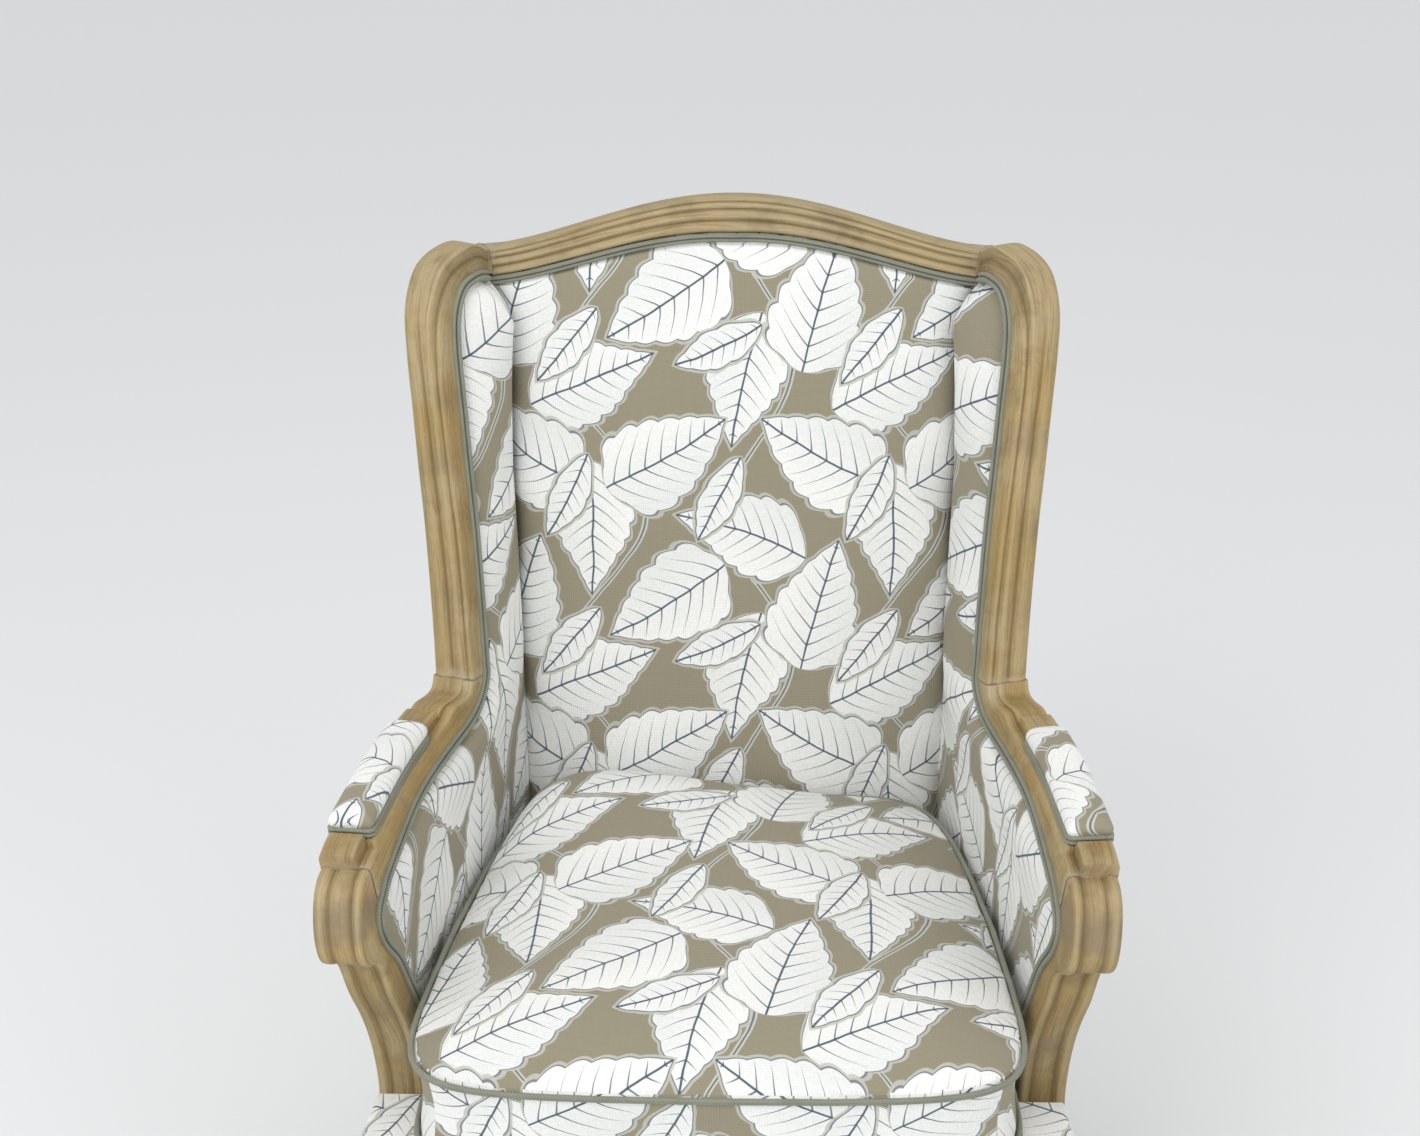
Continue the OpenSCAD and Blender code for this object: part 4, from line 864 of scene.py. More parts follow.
def leaf_print():
    """The print as a node group: a place on the cloth in metres gives its colour."""
    group = new_group("leaf print", "ShaderNodeTree", {"Place": "Vector"}, {"Colour": "Color"})
    place = add(group, "NodeGroupInput")
    known = {"waver": add(group, "TexNoise", {"Vector": place, "Scale": 16, "Detail": 3}, out=1)}
    worked_out(group, "VectorMath", known, (
        ("waver", "SUBTRACT", "waver", (0.5, 0.5, 0.5)),
        ("place", "MULTIPLY_ADD", "waver", (0.007, 0.007, 0), place)))
    colour = linear("#968f7b")
    # two stems a repeat, which wander up the cloth behind the leaves
    known["across"] = add(group, "SeparateXYZ", [known["place"]])
    known["up"] = known["across"].node.outputs[1]
    for stem_x, swing in ((0.05, 0.035), (0.21, -0.045)):
        worked_out(group, "Math", known, (
            ("turn", "MULTIPLY", "up", 2 * math.pi / (2 * leaf_step)), ("turn", "SINE", "turn"),
            ("off", "MULTIPLY_ADD", "turn", swing, stem_x), ("off", "SUBTRACT", "across", "off"),
            ("off", "PINGPONG", "off", leaf_step)))
        colour = washes(group, colour, [
            (known["off"], reach, reach - 0.0006, 0.9, linear(tint))
            for reach, tint in ((0.0036, "#c9cac0"), (0.0013, "#586a6e"))])
    for shift, length, half, outline, scallops, vein, seed in leaf_kinds:
        worked_out(group, "VectorMath", known, (
            ("cell", "MULTIPLY_ADD", "place", (1 / leaf_step, 1 / leaf_step, 0), (*shift, 0)),
            ("number", "FLOOR", "cell"), ("number", "WRAP", "number", (2, 2, 2), (0, 0, 0)),
            ("number", "ADD", "number", (seed, seed * 0.37, 0)), ("inside", "FRACTION", "cell"),
            ("inside", "SUBTRACT", "inside", (0.5, 0.5, 0)),
            ("inside", "MULTIPLY", "inside", (leaf_step, leaf_step, 0))))
        chance = add(group, "TexWhiteNoise", [known["number"]], out=1, noise_dimensions="2D")
        parts = add(group, "SeparateColor", [chance])
        angle = add(group, "Math", [parts, 2 * math.pi], operation="MULTIPLY")
        inside = add(group, "VectorRotate", {"Vector": known["inside"], "Angle": angle},
                     rotation_type="Z_AXIS")
        known["x"] = add(group, "SeparateXYZ", [inside])
        known["y"], known["tip"] = known["x"].node.outputs[1], parts.node.outputs[1]
        worked_out(group, "Math", known, (
            ("t", "MULTIPLY_ADD", "y", 1 / length, 0.5), ("from_middle", "SUBTRACT", "t", 0.5),
            ("curl", "MULTIPLY", "from_middle", "from_middle"),
            ("curl_way", "MULTIPLY_ADD", "tip", 0.36, -0.18),
            ("curl_way", "MULTIPLY", "curl_way", length),
            ("x", "MULTIPLY_ADD", "curl", "curl_way", "x"), ("wide", "ABSOLUTE", "x"),
            ("past_tip", "SUBTRACT", "y", length / 2 + 0.001),
            ("past_stalk", "MULTIPLY_ADD", "y", -1, -length / 2 - 0.009),
            ("past_tip", "MAXIMUM", "past_tip", "past_stalk"),
            ("lobe", "MULTIPLY_ADD", "wide", -1.1, "y"),
            ("lobe", "MULTIPLY", "lobe", scallops * math.pi / length), ("lobe", "SINE", "lobe"),
            ("lobe", "ABSOLUTE", "lobe"), ("lobe", "MULTIPLY_ADD", "lobe", 0.10, 0.92)))
        reach = add(group, "FloatCurve", [1.0, known["t"]])
        line = reach.node.mapping.curves[0]
        line.points[0].location, line.points[1].location = outline[0], outline[-1]
        for spot in outline[1:-1]:
            line.points.new(*spot)
        reach.node.mapping.update()
        known["reach"] = reach
        worked_out(group, "Math", known, (
            ("reach", "MULTIPLY", "reach", half), ("reach", "MULTIPLY", "reach", "lobe"),
            ("off", "SUBTRACT", "wide", "reach"), ("off", "MAXIMUM", "off", "past_tip"),
            ("rim", "ADD", "off", 0.0007), ("rim", "ABSOLUTE", "rim"),
            ("vein", "MULTIPLY_ADD", "wide", -0.6, "y"), ("sweep", "MULTIPLY", "wide", "wide"),
            ("vein", "MULTIPLY_ADD", "sweep", -7.0, "vein"), ("vein", "DIVIDE", "vein", vein),
            ("vein", "PINGPONG", "vein", 0.5), ("thin", "DIVIDE", "wide", "reach"),
            ("vein", "MULTIPLY_ADD", "thin", -0.062, "vein"),
            ("wash", "MULTIPLY_ADD", "x", 6.0, 0.5)))
        edge = {}
        for name, value, low, high, most in (
                ("halo", "off", 0.0034, 0.0028, 0.85), ("leaf", "off", 0.0003, -0.0003, 1.0),
                ("rim", "rim", 0.0010, 0.0006, 0.95), ("vein", "vein", 0.435, 0.45, 0.9),
                ("inner", "off", -0.002, -0.005, 1.0), ("rib", "wide", 0.0013, 0.0009, 0.95),
                ("wash", "wash", 0.3, 0.75, 0.5)):
            edge[name] = add(group, "MapRange", [known[value], low, high, 0, most])
        worked_out(group, "Math", edge, (
            ("vein", "MULTIPLY", "vein", "inner"), ("rib", "MULTIPLY", "rib", "leaf"),
            ("rim", "MULTIPLY", "rim", "halo")))
        leaf_colour = add(group, "Mix", {share_in: edge["wash"], under_in: linear("#f3f3f1"),
                                         over_in: linear("#dcdfdd")}, out=2, data_type="RGBA")
        for name, tint in (("halo", linear("#c3c2b6")), ("leaf", leaf_colour),
                           ("vein", linear("#5d707d")), ("rib", linear("#43586a")),
                           ("rim", linear("#43586a"))):
            colour = add(group, "Mix", {share_in: edge[name], under_in: colour, over_in: tint},
                         out=2, data_type="RGBA")
    add(group, "NodeGroupOutput", [colour])
    return group


print_group = leaf_print()


def printed_linen(name, shift):
    """Union cloth with the leaf print, its threads drawn 2.4 mm apart, some four times as
    coarse as real ones, so that they show. Matt, with a faint bloom at glancing angles."""
    made, tree, shader = new_finish(name, Roughness=0.92, Sheen_Weight=0.12,
                                    Sheen_Roughness=0.5, Specular_IOR_Level=0.2)
    place = add(tree, "UVMap", uv_map="Cloth")
    moved = add(tree, "Mapping", {"Vector": place, "Location": (*shift, 0)})
    group = add(tree, "Group", [moved], node_tree=print_group)
    weave = add(tree, "Math", [
        add(tree, "TexWave", {"Vector": place, "Scale": 131, "Distortion": 1.2, "Detail": 2,
                              "Detail Scale": 2}, bands_direction=way)
        for way in "XY"], operation="ADD")
    slub = add(tree, "TexNoise", {"Vector": place, "Scale": 260, "Detail": 3})
    colour = washes(tree, group, [(slub, 0.35, 0.7, 0.1, linear("#857e69"))])
    height = add(tree, "Math", [slub, 0.8, weave], operation="MULTIPLY_ADD")
    folds = add(tree, "TexNoise", {"Vector": place, "Scale": 17, "Detail": 2})
    bump = add(tree, "Bump", {"Strength": 0.3, "Distance": 0.003, "Height": folds})
    bump = add(tree, "Bump", {"Strength": 0.5, "Distance": 0.0004, "Height": height,
                              "Normal": bump})
    set_inputs(shader, {"Base Color": colour, "Normal": bump})
    return made


# Sides: padding over webbing from the wings down to the seat, covered in one piece of the
# printed linen inside and a thinner one outside, both tacked along the show wood.
welt_w, welt_h, welt_gap = 0.009, 0.0045, 0.0003
side_pad_t, side_crown = 0.013, 0.013
cushion_t = 0.104
pad_edge = face_w - welt_h
pad_back = pad_edge - side_pad_t
outside_inset, outside_t = 0.001, 0.008
tuck_run, tuck_outer = 0.006, 0.0052
flange = welt_w + 2 * gap
side_foot = rail_top + web_stack + gap
plain_wings = flow(wing_knots, 2)
edge_knots = np.vstack([
    plain_wings, arm_rear, [arm_row(stop_rear - step_run, 0, 0)],
    [arm_row(mix(pad_rear, pad_front, 1 / 3), 0, -arm_fall / 9)],
    [arm_row(mix(pad_rear, pad_front, 2 / 3), 0, -0.65 * arm_fall)],
    [arm_row(pad_front, 0, -1.5 * arm_fall)],
    support_knots[support_knots[:, 3] > side_foot + welt_w]])
edge_rows = flow(edge_knots, 4)
wing_count = (len(plain_wings) - 1) * 4 + 1


def in_side(a, z, inset):
    return on_side(a, z) - side_normal(a, z) * inset


def pad_piece(name, upper, lower, places):
    """A closed pad between two grids of points. places are the upper grid's UVs."""
    upper, lower = np.asarray(upper, float), np.asarray(lower, float)
    rows, cols = upper.shape[:2]
    count = rows * cols
    faces, uvs = [], []
    flat = np.asarray(places, float).reshape(-1, 2)
    for level in (0, 1):
        for i in range(rows - 1):
            for k in range(cols - 1):
                a = i * cols + k
                ids = (a, a + 1, a + cols + 1, a + cols)
                faces.append(tuple(level * count + v for v in ids))
                uvs += [tuple(flat[v]) for v in ids]
    rim = (list(range(cols - 1)) + [i * cols + cols - 1 for i in range(rows - 1)]
           + [(rows - 1) * cols + k for k in range(cols - 1, 0, -1)]
           + [i * cols for i in range(rows - 1, 0, -1)])
    for k, a in enumerate(rim):
        b = rim[(k + 1) % len(rim)]
        faces.append((a, b, b + count, a + count))
        uvs += [tuple(flat[a]), tuple(flat[b]), tuple(flat[b] + 0.004), tuple(flat[a] + 0.004)]
    points = np.vstack([upper.reshape(-1, 3), lower.reshape(-1, 3)])
    return new_piece(name, points, faces, uvs, "Cloth", crease=60)


def edge_point(row, by):
    """A point (ahead, height) that lies inwards of the show wood's inner edge."""
    return row[2:] + unit(row[2:] - row[:2]) * by


bump_at, bump_to = flow([(0, 0), (0.05, 0.34), (0.14, 0.66), (0.36, 1), (0.6, 1), (0.77, 0.86),
                         (0.89, 0.46), (1, 0)], 6).T
columns = np.concatenate([np.linspace(0, 0.14, 9), np.linspace(0.14, 1, 34)[1:]])
top_back = wing_rows[0][3] - welt_w


def side_grid():
    """Rows of (ahead, height, bump share) from the show wood's edge to the back."""
    rows = []
    last = len(edge_rows) - 1
    wing_back = edge_rows[wing_count - 1][3]
    for i, row in enumerate(edge_rows):
        if i < wing_count:
            back = mix(top_back, wing_back, i / (wing_count - 1))
        else:
            back = mix(wing_back, side_foot, (i - wing_count + 1) / (last - wing_count + 2))
        f, f1, g = edge_point(row, gap), edge_point(row, gap + flange), np.array([0.004, back])
        fade = min(1, i / 11) ** 0.6
        line = [(*f, 0)]
        for c in columns:
            p = mix(f1, g, c)
            # down beside the cushion the padding only just meets it
            low = max(0.6, min(1, (p[1] - deck_top - cushion_t) / cushion_t))
            ear = 0.9 * max(0, min(1, (p[1] - 0.84) / 0.16)) * min(1, c / 0.6, 4.5 * (1 - c))
            line.append((*p, (np.interp(c, bump_at, bump_to) + ear) * fade * low))
        rows.append(line)
    a = support_rows[-1][2] - gap
    rows.append([(a, side_foot, 0)] + [(mix(a - flange, 0.004, c), side_foot,
                                        np.interp(c, bump_at, bump_to) * 0.25)
                                       for c in columns])
    return np.array(rows)


side_rows = side_grid()
for side, side_name in sides:
    linen = printed_linen(f"printed linen, {side_name} side", (0.09 + 0.13 * side, 0.04 * side))
    upper = [[in_side(p[0], p[1], pad_edge - slim(i) + side_crown * p[2]) for p in r]
             for i, r in enumerate(side_rows)]
    lower = [[in_side(p[0], p[1], pad_back - slim(i)) for p in r] for i, r in enumerate(side_rows)]
    pad = pad_piece(f"inside_side_cover_{side_name}", turned(upper, side), turned(lower, side),
                    side_rows[:, :, :2] * [side, 1])
    own(pad, linen, "print_cloth", "frame", f"inside_side_{side_name}", fill=0.9)
    # the outside cover's rear edge is thin and tucked in behind the post's front
    spots = side_rows[:, ::6].copy()
    spots[0, :, 1] = spots[0, 0, 1]
    upper, lower = ([[in_side(p[0], p[1], inset) for p in r[:-1]]
                     + [in_side(-tuck_run, r[-1][1], tuck_inset)] for r in spots]
                    for inset, tuck_inset in ((outside_inset, tuck_outer),
                                              (outside_inset + outside_t, tuck_outer + 0.001)))
    pad = pad_piece(f"outside_side_cover_{side_name}", turned(upper, side),
                    turned(lower, side), spots[:, :, :2] * [-side, 1])
    own(pad, linen, "print_cloth", "frame", f"outside_side_{side_name}", fill=1.0)

# Back: a crowned inside back between the side pads, and a flat outside back set between the
# posts, both in the printed linen over padding.
linen_of_back = printed_linen("printed linen, back", (0.02, 0.11))
back_crown = 0.026
back_pad_rear = web_stack + welt_gap
back_foot = deck_top + gap


def back_half(z):
    row = (wing_count - 1) * max(0, (top_back - z) / (top_back - arm_top))
    return out_x(back_pad_t, z) - (pad_edge - slim(row) - 0.003) * math.sqrt(1 + splay(z) ** 2)


back_top_half = back_half(crest_low(crest_half))


def round_bump(t):
    return max(0, 1 - abs(t) ** 3) ** 0.7


roll_deep, roll_from, roll_run = 0.011, 0.004, 0.008


def back_point(share, u, ahead, crown, under_welt=False):
    top = crest_low(u * back_top_half) - gap - (0 if under_welt else flange)
    z = mix(top, back_foot, share)
    swell = 0 if under_welt else round_bump(u) * (0.25 + 0.75 * round_bump(2 * share - 1))
    # the cover is pulled down into the seam with the sides
    to_seam = max(0, (1 - abs(u)) * back_half(z) - roll_from)
    roll = 0 if under_welt else roll_deep * math.exp(-to_seam / roll_run)
    return np.array([u * back_half(z), back_y(z) - ahead - crown * swell + roll, z])


us = np.sin(np.linspace(-1, 1, 57) * math.pi / 2)
shares = (1 - np.cos(np.linspace(0, 1, 57) * math.pi)) / 2
upper, lower = (
    [[back_point(0, u, edge, 0, under_welt) for u in us] for under_welt in (True, False)]
    + [[back_point(s, u, ahead, crown) for u in us] for s in shares]
    for edge, ahead, crown in ((back_pad_t - welt_h, back_pad_t, back_crown),
                               (back_pad_rear, back_pad_rear, 0)))
pad = pad_piece("inside_back_cover", upper, lower,
                [[(p[0], (p[2] - rail_top) / slope) for p in r] for r in upper])
own(pad, linen_of_back, "print_cloth", "frame", "inside_back", fill=0.8)


def outside_half(z):
    return post_inner(z) - gap


def outside_y(z):
    return back_y(z) + post_d - outside_inset


def outside_point(share, u, ahead):
    z = mix(crest_low(u * outside_half(post_top)) - gap, rail_top + gap, share)
    return np.array([u * outside_half(z), outside_y(z) - ahead, z])


us, shares = np.linspace(-1, 1, 33), np.linspace(0, 1, 33)
upper, lower = ([[outside_point(s, u, ahead) for u in us] for s in shares]
                for ahead in (0, outside_t))
pad = pad_piece("outside_back_cover", upper, lower,
                [[(-p[0], (p[2] - rail_top) / slope) for p in r] for r in upper])
own(pad, linen_of_back, "print_cloth", "frame", "outside_back", fill=1.0)

# Seat deck: a stuffed platform on the webbing, rounded over at the front edge, where it
# comes out over the front rail in front of the arm supports.
linen_of_seat = printed_linen("printed linen, seat", (0.15, 0.21))
deck_z = rail_top + web_stack + glue
deck_round = 0.012
deck_front_inset = front_inset + welt_h + gap
support_foot = support_shares[-1][0] * arm_reach
ear_rear = seat_post_y - support_foot - 0.1 * face_w - gap
support_w = face_w + 0.002


def ear_half(y):
    return out_x(seat_post_y - y, rail_top) - front_inset


def deck_front(x):
    return leg_front + deck_front_inset - bow(x)


ear = leg_front + deck_front_inset + deck_round
half_line = [(out_x(seat_post_y - y, rail_top) - support_w * rail_slant - gap, y)
             for y in np.linspace(seat_post_y - gap, ear_rear, 12)]
half_line += [(ear_half(y), y) for y in np.linspace(ear_rear, ear, 5)]
half_line += [(ear_half(ear) - deck_round * (1 - math.cos(a)), ear - deck_round * math.sin(a))
              for a in np.radians([22, 45, 67, 90])]
half_line += [(x, deck_front(x)) for x in np.linspace(front_rail_half, 0, 24)[:-1]]
outline = np.array(half_line + [(0, deck_front(0))] + [(-x, y) for x, y in half_line[::-1]])


def area_in(line):
    """The area in a level outline, below 0 if it runs clockwise."""
    after = np.roll(line, -1, axis=0)
    return np.sum(line[:, 0] * after[:, 1] - after[:, 0] * line[:, 1]) / 2


def units(rows):
    return rows / np.maximum(np.linalg.norm(rows, axis=1), 1e-9)[:, None]


def drawn_in(line, by):
    """A level outline moved inwards."""
    way = units(line - np.roll(line, 1, axis=0)) + units(np.roll(line, -1, axis=0) - line)
    n = units(np.stack([-way[:, 1], way[:, 0]], axis=1))
    return line + n * math.copysign(by, area_in(line))


def lay_cloth(mesh, drop):
    """Cloth UVs in metres: flat on top and, from drop below, level round the edges."""
    uv = mesh.uv_layers["Cloth"].data
    for face in mesh.polygons:
        n = face.normal
        for corner in face.loop_indices:
            p = mesh.vertices[mesh.loops[corner].vertex_index].co
            level = p.x if abs(n.y) > abs(n.x) else p.y
            uv[corner].uv = (p.x, p.y) if abs(n.z) > 0.6 else (level, p.z - drop)


deck_roll = 0.010
rings = [[(x, y, deck_z) for x, y in outline], [(x, y, deck_top - deck_roll) for x, y in outline]]
for a in np.radians([18, 36, 54, 72, 90]):
    line = drawn_in(outline, deck_roll * (1 - math.cos(a)))
    rings.append([(x, y, deck_top - deck_roll * (1 - math.sin(a))) for x, y in line])
deck = loft("seat_deck_cover", rings, uv_name="Cloth", crease=70)
lay_cloth(deck.data, 0.6)
own(deck, linen_of_seat, "print_cloth", "frame", "seat_deck", fill=1.0)

# Dust cover: a sheet of thin black cambric that closes the chair from below. It is cut to the
# seat frame's outline, stretched under the rails and tacked round its edge.
cambric, tree, shader = new_finish("black cambric", Roughness=0.95)
solid = add(tree, "TexCoord", out="Object")
# matt and nearly black, with threads 2 mm apart: about four times as coarse as real ones, so
# that they show
weave = add(tree, "Math", [
    add(tree, "TexWave", {"Vector": solid, "Scale": 160}, bands_direction=way)
    for way in "XY"], operation="MULTIPLY")
colour = add(tree, "Mix", {share_in: weave, under_in: linear("#1d1c1c"),
                           over_in: linear("#3a3836")}, out=2, data_type="RGBA")
set_inputs(shader, {"Base Color": colour})
by_post, by_leg = post_inner(rail_top) - gap, leg_x - leg_block / 2 - gap
ahead_of_post, behind_leg = seat_post_y - gap, leg_rear + gap
cover_half = [(by_post, seat_post_y + post_d / 2), (by_post, ahead_of_post),
              (side_inner_x(ahead_of_post) + rail_t / 2, ahead_of_post),
              (side_inner_x(behind_leg) + rail_t / 2, behind_leg), (by_leg, behind_leg),
              (by_leg, leg_front + front_inset + rail_t + gap)]
cover_line = np.array(cover_half + [(-x, y) for x, y in cover_half[::-1]])
cover_t = 0.0008
cover_z = rail_bottom - glue - cover_t
rings = [[(x, y, z) for x, y in cover_line] for z in (cover_z, cover_z + cover_t)]
cover = loft("dust_cover_cambric", rings, crease=30)
own(cover, cambric, "lining", "frame", "dust_cover")

# Arm pads: small upright-sided pads on the outer part of the arms, stuffed hard, crowned, and
# covered in the printed linen. They swell a little over the welt at their foot.
linen_of_arms = printed_linen("printed linen, arm pads", (0.02, 0.05))
pad_over = 0.003
pad_inner, pad_outer = -0.82 * face_w / 2, face_w / 2 + pad_over
pad_floor = arm_top - pad_recess + welt_gap
arm_middle = arm_top - pad_recess - 0.013
pad_from, pad_to = pad_rear + gap, pad_front - gap - step_run


def on_arm(a, across, h):
    """A point over an arm: ahead of the rear posts, out of its middle, and above the pad's bed."""
    return (on_side(a, pad_floor) + side_normal(a, arm_middle) * (across - face_w / 2)
            + np.array([0, 0, h]))


pad_r_rear, pad_r_front = 0.013, 0.006


def pad_outline(inset):
    """Points (ahead, across) round an arm pad, drawn in, and the way out at each."""
    spots = []
    for a, c, r, start in ((pad_to - inset, pad_outer - inset, pad_r_front, 0),
                           (pad_from + inset, pad_outer - inset, pad_r_rear, 90),
                           (pad_from + inset, pad_inner + inset, pad_r_rear, 180),
                           (pad_to - inset, pad_inner + inset, pad_r_front, 270)):
        r = max(0.0015, r - 0.5 * inset)
        ma, mc = a - math.copysign(r, a - (pad_from + pad_to) / 2), c - math.copysign(r, c)
        for t in np.radians(start + np.linspace(0, 90, 7)):
            spots.append((ma + r * math.cos(t), mc + r * math.sin(t), math.cos(t), math.sin(t)))
    spots = np.array(spots)
    line = []
    for k, spot in enumerate(spots):
        line.append(spot)
        # after each corner's seven points comes a straight edge
        if k % 7 == 6:
            line += [mix(spot, spots[(k + 1) % len(spots)], t)
                     for t in np.linspace(0, 1, 14)[1:-1]]
    return np.array(line)


pad_levels = ((0.0, 0.004), (0.004, 0.0035), (0.0085, 0.0033), (0.0105, 0.0020),
              (0.013, 0.0012), (0.016, 0.0016), (0.0185, 0.0030), (0.0205, 0.0052),
              (0.0222, 0.0080), (0.0236, 0.0112), (0.0246, 0.0142), (0.0250, 0.0170))
for side, side_name in sides:
    rings = [[on_arm(a, c, h) for a, c, _, _ in pad_outline(inset)] for h, inset in pad_levels]
    pad = loft(f"arm_pad_cover_{side_name}", turned(rings, side), uv_name="Cloth", crease=80)
    uv = pad.data.uv_layers["Cloth"].data
    for corner in pad.data.loops:
        p = pad.data.vertices[corner.vertex_index].co
        uv[corner.index].uv = (p.x + side * p.z * 0.3, p.y - p.z * 0.5)
    own(pad, linen_of_arms, "print_cloth", "frame", f"arm_pad_{side_name}", fill=1.0)

# Double welt: two cords side by side, covered in plain sage-grey cloth and glued over the
# tacks wherever printed linen meets show wood.
sage_welt, tree, shader = new_finish("sage-grey woven welt", Roughness=0.88, Sheen_Weight=0.1,
                                     Specular_IOR_Level=0.2)
place = add(tree, "UVMap", uv_map="Grain")
# matt, faded in places, with fine light and dark threads wound slantwise: drawn 2.2 mm apart,
# a few times as coarse as real ones, so that they show
skew = add(tree, "Mapping", {"Vector": place, "Rotation": (0, 0, 0.7)})
threads = add(tree, "TexWave", {"Vector": skew, "Scale": 143, "Distortion": 0.8, "Detail": 1},
              bands_direction="X")
fade = add(tree, "TexNoise", {"Vector": place, "Scale": 30, "Detail": 4})
colour = add(tree, "Mix", {share_in: threads, under_in: linear("#7b7d70"),
                           over_in: linear("#9a9c8d")}, out=2, data_type="RGBA")
colour = washes(tree, colour, [(fade, 0.4, 0.7, 0.35, linear("#6f6e60"))])
# painted shade in the dip between the two cords and along the welt's foot
recess = add(tree, "Attribute", attribute_name="recess", out=2)
recess = add(tree, "Math", [recess, 0.55], operation="MULTIPLY")
colour = add(tree, "Mix", {share_in: recess, under_in: colour, over_in: linear("#4d4c42")}, out=2,
             data_type="RGBA")
bump = add(tree, "Bump", {"Strength": 0.5, "Distance": 0.0004, "Height": threads})
set_inputs(shader, {"Base Color": colour, "Normal": bump})

# each point of the section: across, up, and its painted shade, deepest in the dip between the cords
# and half at the foot
welt_section = [(-1, 0, 0.5)]
for cord in (-1, 1):
    for a in np.radians(np.linspace(180, 0, 9)):
        x = cord * 0.5 + 0.5 * math.cos(a)
        valley_shade = max(0, 1 - abs(x) / 0.22) if abs(x) < 0.3 else 0
        welt_section.append((x, 0.3 + 0.7 * math.sin(a), valley_shade))
welt_section.append((1, 0, 0.5))


def line_mesh(name, points, closed, **marks):
    """Points joined by edges, with a vector or a number kept at each of them."""
    count = len(points)
    mesh = bpy.data.meshes.new(name)
    mesh.from_pydata([tuple(p) for p in points],
                     [(i, (i + 1) % count) for i in range(count if closed else count - 1)], [])
    set_marks(mesh, marks)
    return new_object(name, mesh)


# Lays a section along a path: the section's first axis points outwards from the cloth.
cord_tree = new_group("cord along a path", "GeometryNodeTree",
                      {"Path": "Geometry", "Section": "Object", "Covering": "Material"},
                      {"Cord": "Geometry"})
given = add(cord_tree, "NodeGroupInput")
outward = add(cord_tree, "GeometryNodeInputNamedAttribute", {"Name": "outward"},
              data_type="FLOAT_VECTOR")
path = add(cord_tree, "GeometryNodeMeshToCurve", [given])
path = add(cord_tree, "GeometryNodeSetCurveNormal", {"Curve": path, "Normal": outward},
           mode="FREE")
shape = add(cord_tree, "GeometryNodeObjectInfo", [given.node.outputs["Section"]], out=4)
shape = add(cord_tree, "GeometryNodeMeshToCurve", [shape])
lengths = add(cord_tree, "GeometryNodeSplineParameter", out=1)
path = add(cord_tree, "GeometryNodeStoreNamedAttribute",
           {"Geometry": path, "Name": "along", "Value": lengths}, data_type="FLOAT")
shape = add(cord_tree, "GeometryNodeStoreNamedAttribute",
            {"Geometry": shape, "Name": "around", "Value": lengths}, data_type="FLOAT")
cord = add(cord_tree, "GeometryNodeCurveToMesh",
           {"Curve": path, "Profile Curve": shape, "Fill Caps": True})
marks = [add(cord_tree, "GeometryNodeInputNamedAttribute", {"Name": mark}, data_type="FLOAT")
         for mark in ("along", "around")]
marks = add(cord_tree, "CombineXYZ", marks)
cord = add(cord_tree, "GeometryNodeStoreNamedAttribute",
           {"Geometry": cord, "Name": "Grain", "Value": marks}, data_type="FLOAT2",
           domain="CORNER")
cord = add(cord_tree, "GeometryNodeRealizeInstances", [cord])
cord = add(cord_tree, "GeometryNodeSetMaterial",
           {"Geometry": cord, "Material": given.node.outputs["Covering"]})
add(cord_tree, "NodeGroupOutput", [cord])


def finished_mesh(piece):
    """A piece's mesh with its modifiers run."""
    return bpy.data.meshes.new_from_object(piece.evaluated_get(
        bpy.context.evaluated_depsgraph_get()))


def from_nodes(name, start, node_tree, **inputs):
    """Runs a geometry tree on a starting mesh and keeps the result as a plain mesh."""
    work = start.modifiers.new("work", "NODES")
    work.node_group = node_tree
    for item in node_tree.interface.items_tree:
        if item.in_out == "INPUT" and item.name in inputs:
            work[item.identifier] = inputs[item.name]
    mesh = finished_mesh(start)
    bpy.data.objects.remove(start)
    shade_smooth(mesh, 60)
    return new_object(name, mesh)


def double_welt(name, line, outward, closed, node, tall=1.0, wide=1.0, deep=0.0):
    """Double welt along a line of points, with the way out of the cloth at each. Its base
    reaches into the cloth by a share of its height, deep."""
    section = line_mesh("section", [((q[1] or -deep) * welt_h * tall, q[0] * wide * welt_w / 2,
                                     0) for q in welt_section], True,
                        recess=[q[2] for q in welt_section])
    welt = from_nodes(name, line_mesh("path", line, closed, outward=outward), cord_tree,
                      Section=section, Covering=sage_welt)
    bpy.data.objects.remove(section)
    own(welt, sage_welt, "welt_cord", "frame", node, fill=1.0)


